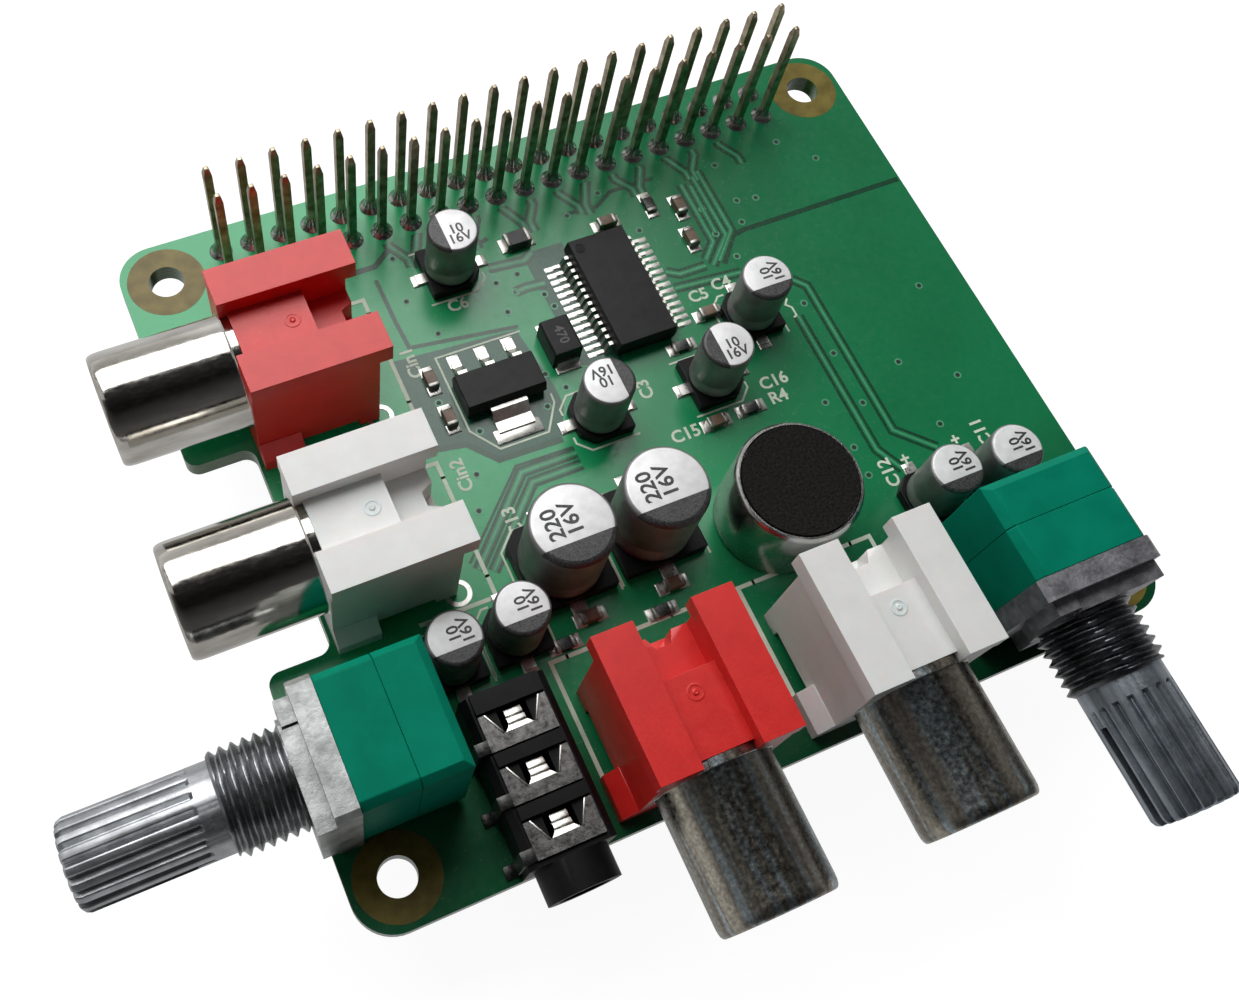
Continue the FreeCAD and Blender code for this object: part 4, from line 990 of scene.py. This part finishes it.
for name, turn in {**LARGE, **SMALL}.items():
    if name in BARE_AROUND:
        continue
    place = middle_of("capacitor_can_" + name)
    half = LARGE_OUTLINE if name in LARGE else SMALL_OUTLINE
    corner = half * CUT_CORNER
    for side in SIDES:
        path = [(-half, side * half), (corner, side * half), (half, side * corner),
                (half, side * half * OUTLINE_STOP)]
        ink.strip(on_board(path, upright(place.x, place.y, 0, turn)), FINE, *LAYER["ink"])
for text, x, y, turn in MARKS:
    ink.letters(text, MARK_HEIGHT, upright(x, y, BOARD_TOP + MARK_RISE, turn), MARK_THICK, MARK_WEIGHT)
piece("board_print", ink, [SILK])


# Solder: cones round the header pins, joints below the board, pads and plated ends

# Radius and height
PIN_CONE = [(0.92, 0), (0.9, 0.06), (0.7, 0.16), (0.54, 0.42), (0.46, 0.8), (0.3, 1.1)]
cones = Shape()
for column in range(HEADER_COLUMNS):
    for row in (-0.5, 0.5):
        x = (column - (HEADER_COLUMNS - 1) / 2) * HEADER_PITCH
        cones.lathe(PIN_CONE, upright(x, HEADER_Y + row * HEADER_PITCH), FEW_STEPS)
piece("pin_solder", cones, [SOLDER], smooth=60)

LEG_TOP = -0.3
# Reach past the leg and depth below the board
JOINT_RINGS = [(0.52, 0.0), (0.48, 0.06), (0.28, 0.3), (0.15, 0.58), (0.05, 0.85)]
JOINT_SIDES = 24
LEGGED = ["left_pot_pins", "right_pot_pins", "microphone_pins",
          *("audio_jack_%s_contact" % name for name in JACK_CONTACTS),
          *(name + end for name in PHONOS for end in ("_phono_sleeve", "_phono_contact"))]


def legs_below(node):
    """The box in X and Y of each separate leg that a node has below the board."""
    mesh = nodes[node].data
    spots = [tuple(round(c / MM, 3) for c in vertex.co) for vertex in mesh.vertices]
    home = {spot: spot for spot in spots}

    def root(spot):
        while home[spot] != spot:
            spot = home[spot]
        return spot

    for polygon in mesh.polygons:
        first = root(spots[polygon.vertices[0]])
        for index in polygon.vertices:
            home[root(spots[index])] = first
    legs = {}
    for spot in home:
        if spot[2] < LEG_TOP:
            legs.setdefault(root(spot), []).append(spot)
    return [[(min(axis), max(axis)) for axis in list(zip(*leg))[:2]] for leg in legs.values()]


fillets = Shape()
for node in LEGGED:
    for across, deep in legs_below(node):
        rings = []
        for grow, drop in JOINT_RINGS:
            half_x = (across[1] - across[0]) / 2 + grow
            half_y = (deep[1] - deep[0]) / 2 + grow
            rings.append([(sum(across) / 2 + half_x * x, sum(deep) / 2 + half_y * y, z)
                          for x, y, z in circle(1, -drop, JOINT_SIDES)])
        fillets.loft(rings)
piece("underside_solder", fillets, [SOLDER], smooth=60)


# Growth past the pad's size at shares of its rise
PAD_SLOPE = ((0.04, 0), (0.02, 0.7), (-0.05, 1))


def pad(shape, x, y, width, length, rise, turn=0):
    """A tinned pad with sloping sides."""
    rings = []
    for grow, share in PAD_SLOPE:
        w, l, height = width / 2 + grow, length / 2 + grow, rise * share
        rings.append([(-w, -l, height), (w, -l, height), (w, l, height), (-w, l, height)])
    shape.loft(rings, 0, upright(x, y, BOARD_TOP, turn))


CODEC = middle_of("codec_chip_body")
REGULATOR = middle_of("regulator_body")
INDUCTOR = middle_of("inductor_body")
BEAD = middle_of("ferrite_bead")
# A pad's size is its width, length and rise, and its reach is from the middle of its part
CAN_PADS = ((LARGE, 3.55, (1.9, 1.2, 0.12)), (SMALL, 2.45, (1.5, 1.0, 0.12)))
CODEC_LEADS = 14
CODEC_PITCH = 0.65
CODEC_REACH = 3.85
CODEC_PAD = (1.5, 0.36, 0.06)
REGULATOR_PITCH = 2.3
REGULATOR_REACH = 3.4
REGULATOR_PAD = (0.95, 1.1, 0.1)
TAB_PAD_REACH = -3.9
TAB_PAD = (3.8, 1.2, 0.12)
INDUCTOR_REACH = 1.85
INDUCTOR_PAD = (2.0, 0.9, 0.12)
# Places and turns on the board
CHIPS = [(-13.0, 8.95, 90), (-12.9, 5.4, 90), (6.2, 17.5, 0), (12.7, 16.9, 90), (12.2, 13.7, 90),
         (10.3, 6.75, 0), (6.4, -2.3, 0), (-9.5, -13.0, 0), (-2.8, -13.0, 0)]
FILMS = [(6.9, 4.75, 0), (9.55, -2.15, 0), (-4.4, -14.55, 0), (10.4, 18.0, 90), (-12.1, -14.2, 0)]
# Height of each kind, its plating's start, end and half width, and its pads' reach and size
PLATED = (
    (CHIPS, 0.75, (0.46, 0.815), 0.44, 0.85, (0.8, 1.0, 0.1)),
    (FILMS, 0.45, (0.46, 0.815), 0.44, 0.85, (0.8, 1.0, 0.1)),
    ([(BEAD.x, BEAD.y, 0)], 0.9, (0.72, 1.065), 0.64, 1.05, (0.8, 1.3, 0.12)),
)
PLATING = 0.015
PLATING_ROUNDING = 0.06
# A peg of each phono housing comes through the board in a ring, from the foot of its sleeve
PEG_SPOT = (4.65, 9.5)
PEG_RING = (0.7, 1.04)
PEG_RISE = 0.06

pads = Shape()
ends = Shape()
for family, reach, size in CAN_PADS:
    for name, turn in family.items():
        place = middle_of("capacitor_can_" + name)
        for side in SIDES:
            spot = upright(place.x, place.y, 0, turn) @ Vector((side * reach, 0, 0))
            pad(pads, spot.x, spot.y, *size, turn)
for step in range(CODEC_LEADS):
    y = CODEC.y + (step - (CODEC_LEADS - 1) / 2) * CODEC_PITCH
    for side in SIDES:
        pad(pads, CODEC.x + side * CODEC_REACH, y, *CODEC_PAD)
for step in (-1, 0, 1):
    pad(pads, REGULATOR.x + REGULATOR_PITCH * step, REGULATOR.y + REGULATOR_REACH, *REGULATOR_PAD)
pad(pads, REGULATOR.x, REGULATOR.y + TAB_PAD_REACH, *TAB_PAD)
for side in SIDES:
    pad(pads, INDUCTOR.x, INDUCTOR.y + side * INDUCTOR_REACH, *INDUCTOR_PAD)
for places, height, (start, end), half, reach, size in PLATED:
    for x, y, turn in places:
        where = upright(x, y, BOARD_TOP, turn)
        for side in SIDES:
            ends.box(sorted((side * start, side * end)), (-half, half), (0, height + PLATING), 0, where)
            spot = where @ Vector((side * reach, 0, 0))
            pad(pads, spot.x, spot.y, *size, turn)
for name in PHONOS:
    spot = phono_seat(name)[2] @ Vector((*PEG_SPOT, 0))
    flat_ring(pads, spot.x, spot.y, *PEG_RING, BOARD_TOP, BOARD_TOP + PEG_RISE)
piece("solder_pads", pads, [TIN])
piece("plated_ends", ends, [JOINT], bevel=PLATING_ROUNDING)


# Marks on the chips

# Radius and height of the round mark, and its place from the codec's middle
DOT_PROFILE = [(0.0, 0.0), (0.36, 0.0), (0.4, 0.02), (0.46, 0.0), (0.46, -0.02)]
DOT_SPOT = (-1.75, 4.2)
VALUE_HEIGHT = 0.8
VALUE_RISE = 0.004
VALUE_WEIGHT = 0.02
dot = Shape()
dot.lathe(DOT_PROFILE, upright(CODEC.x + DOT_SPOT[0], CODEC.y + DOT_SPOT[1], CODEC.high), STEPS)
piece("codec_dot", dot, [CHIP])
value = Shape()
value.letters("470", VALUE_HEIGHT, upright(INDUCTOR.x, INDUCTOR.y, INDUCTOR.high + VALUE_RISE, -90), INK,
              VALUE_WEIGHT)
piece("inductor_value", value, [GREY_INK])


# Edges of the other mouldings

ROUNDINGS = {
    "audio_jack_body": 0.1, "capacitor_bases": 0.08, "codec_chip_body": 0.07, "regulator_body": 0.08,
    "inductor_body": 0.08, "ferrite_bead": 0.07, "chip_capacitors": 0.06, "chip_resistors": 0.05,
    "header_pins": 0.05, "header_socket": 0.08,
}
for name, radius in ROUNDINGS.items():
    soften(nodes[name], radius)


# Floor, light and camera, in metres

scene.view_settings.view_transform = "Standard"
FLOOR_HALF = 4.0
FLOOR_GAP = 0.0005
FLOOR_TONE = 0.42
# The floor is white paper to the camera by a share of glow, and the rest of it keeps the shadow
CAMERA_GLOW = 1.86
CAMERA_SHARE = 0.5
MIRROR_SHARE = 0.473
# Grey of the room by height, from the horizon up
SKY = ((0.0, 1.0), (0.25, 0.85), (0.58, 0.4), (0.82, 0.06))
# The room is darker towards the front
FRONT_LIGHT = 0.12
FRONT_SPAN = (-0.4, 0.7)
PAPER_WHITE = (1, 1, 1, 1)


def paper_material():
    mat, tree, bsdf = shader("white_paper")
    tree.nodes.remove(bsdf)
    rays = tree.nodes.new("ShaderNodeLightPath").outputs
    matt = tree.nodes.new("ShaderNodeBsdfDiffuse")
    feed(tree, matt, {"Color": (FLOOR_TONE, FLOOR_TONE, FLOOR_TONE, 1)})
    glow = tree.nodes.new("ShaderNodeEmission")
    feed(tree, glow, {"Strength": worked(tree, "MULTIPLY_ADD", rays["Is Camera Ray"], CAMERA_GLOW - 1, 1.0)})
    seen = worked(tree, "MULTIPLY", rays["Is Camera Ray"], CAMERA_SHARE)
    mirrored = worked(tree, "MULTIPLY", rays["Is Glossy Ray"], MIRROR_SHARE)
    mix = tree.nodes.new("ShaderNodeMixShader")
    feed(tree, mix, {0: worked(tree, "MAXIMUM", seen, mirrored), 1: matt.outputs[0], 2: glow.outputs[0]})
    feed(tree, tree.nodes["Material Output"], {"Surface": mix.outputs[0]})
    return mat


def studio_world():
    """A room that is white at the horizon and below, dark overhead, and plain white to the camera."""
    world = bpy.data.worlds.new("studio")
    world.use_nodes = True
    tree = world.node_tree
    way = axes(tree, tree.nodes.new("ShaderNodeTexCoord").outputs["Generated"])
    sky = ramp(tree, way["Z"], [(place, (grey, grey, grey)) for place, grey in SKY])
    room = scaled(tree, sky, spread(tree, way["Y"], FRONT_LIGHT, 1.0, *FRONT_SPAN))
    rays = tree.nodes.new("ShaderNodeLightPath").outputs
    feed(tree, tree.nodes["Background"], {"Color": mixed(tree, rays["Is Camera Ray"], room, PAPER_WHITE)})
    return world


def lamp(name, azimuth, elevation, distance, size, watts):
    """A soft box that looks at the board, azimuth from +Y towards +X."""
    light = bpy.data.lights.new(name, "AREA")
    light.shape = "RECTANGLE"
    light.size, light.size_y = size
    light.energy = watts
    box = linked(name, light)
    a, e = math.radians(azimuth), math.radians(elevation)
    out = Vector((math.sin(a) * math.cos(e), math.cos(a) * math.cos(e), math.sin(e)))
    box.location = out * distance
    box.rotation_euler = out.to_track_quat("Z", "Y").to_euler()


floor_mesh = bpy.data.meshes.new("floor")
floor_z = cad_box[0][2] - FLOOR_GAP
floor_mesh.from_pydata([(-FLOOR_HALF, -FLOOR_HALF, floor_z), (FLOOR_HALF, -FLOOR_HALF, floor_z),
                        (FLOOR_HALF, FLOOR_HALF, floor_z), (-FLOOR_HALF, FLOOR_HALF, floor_z)],
                       [], [(0, 1, 2, 3)])
floor_mesh.materials.append(paper_material())
floor = linked("floor", floor_mesh)

scene.world = studio_world()
lamp("rear_box", -6, 53, 0.45, (0.42, 0.36), 2.1)
lamp("left_fill", -64, 44, 0.5, (0.3, 0.3), 0.15)

# Solved from the header pins, the holes and the board's corners in the photo
CAMERA_PLACE = (-0.03462, -0.03445, 0.08996)
CAMERA_DEGREES = (23.5356, -4.8567, -23.3483)
SENSOR_MM = 36
LENS_MM = 37.686
FRAME_SHIFT = 0.1021
NEAREST = 0.001
eye = bpy.data.cameras.new("camera")
eye.sensor_width = SENSOR_MM
eye.lens = LENS_MM
eye.shift_x = FRAME_SHIFT
eye.clip_start = NEAREST
camera = linked("camera", eye)
camera.location = CAMERA_PLACE
camera.rotation_euler = [math.radians(angle) for angle in CAMERA_DEGREES]
scene.camera = camera
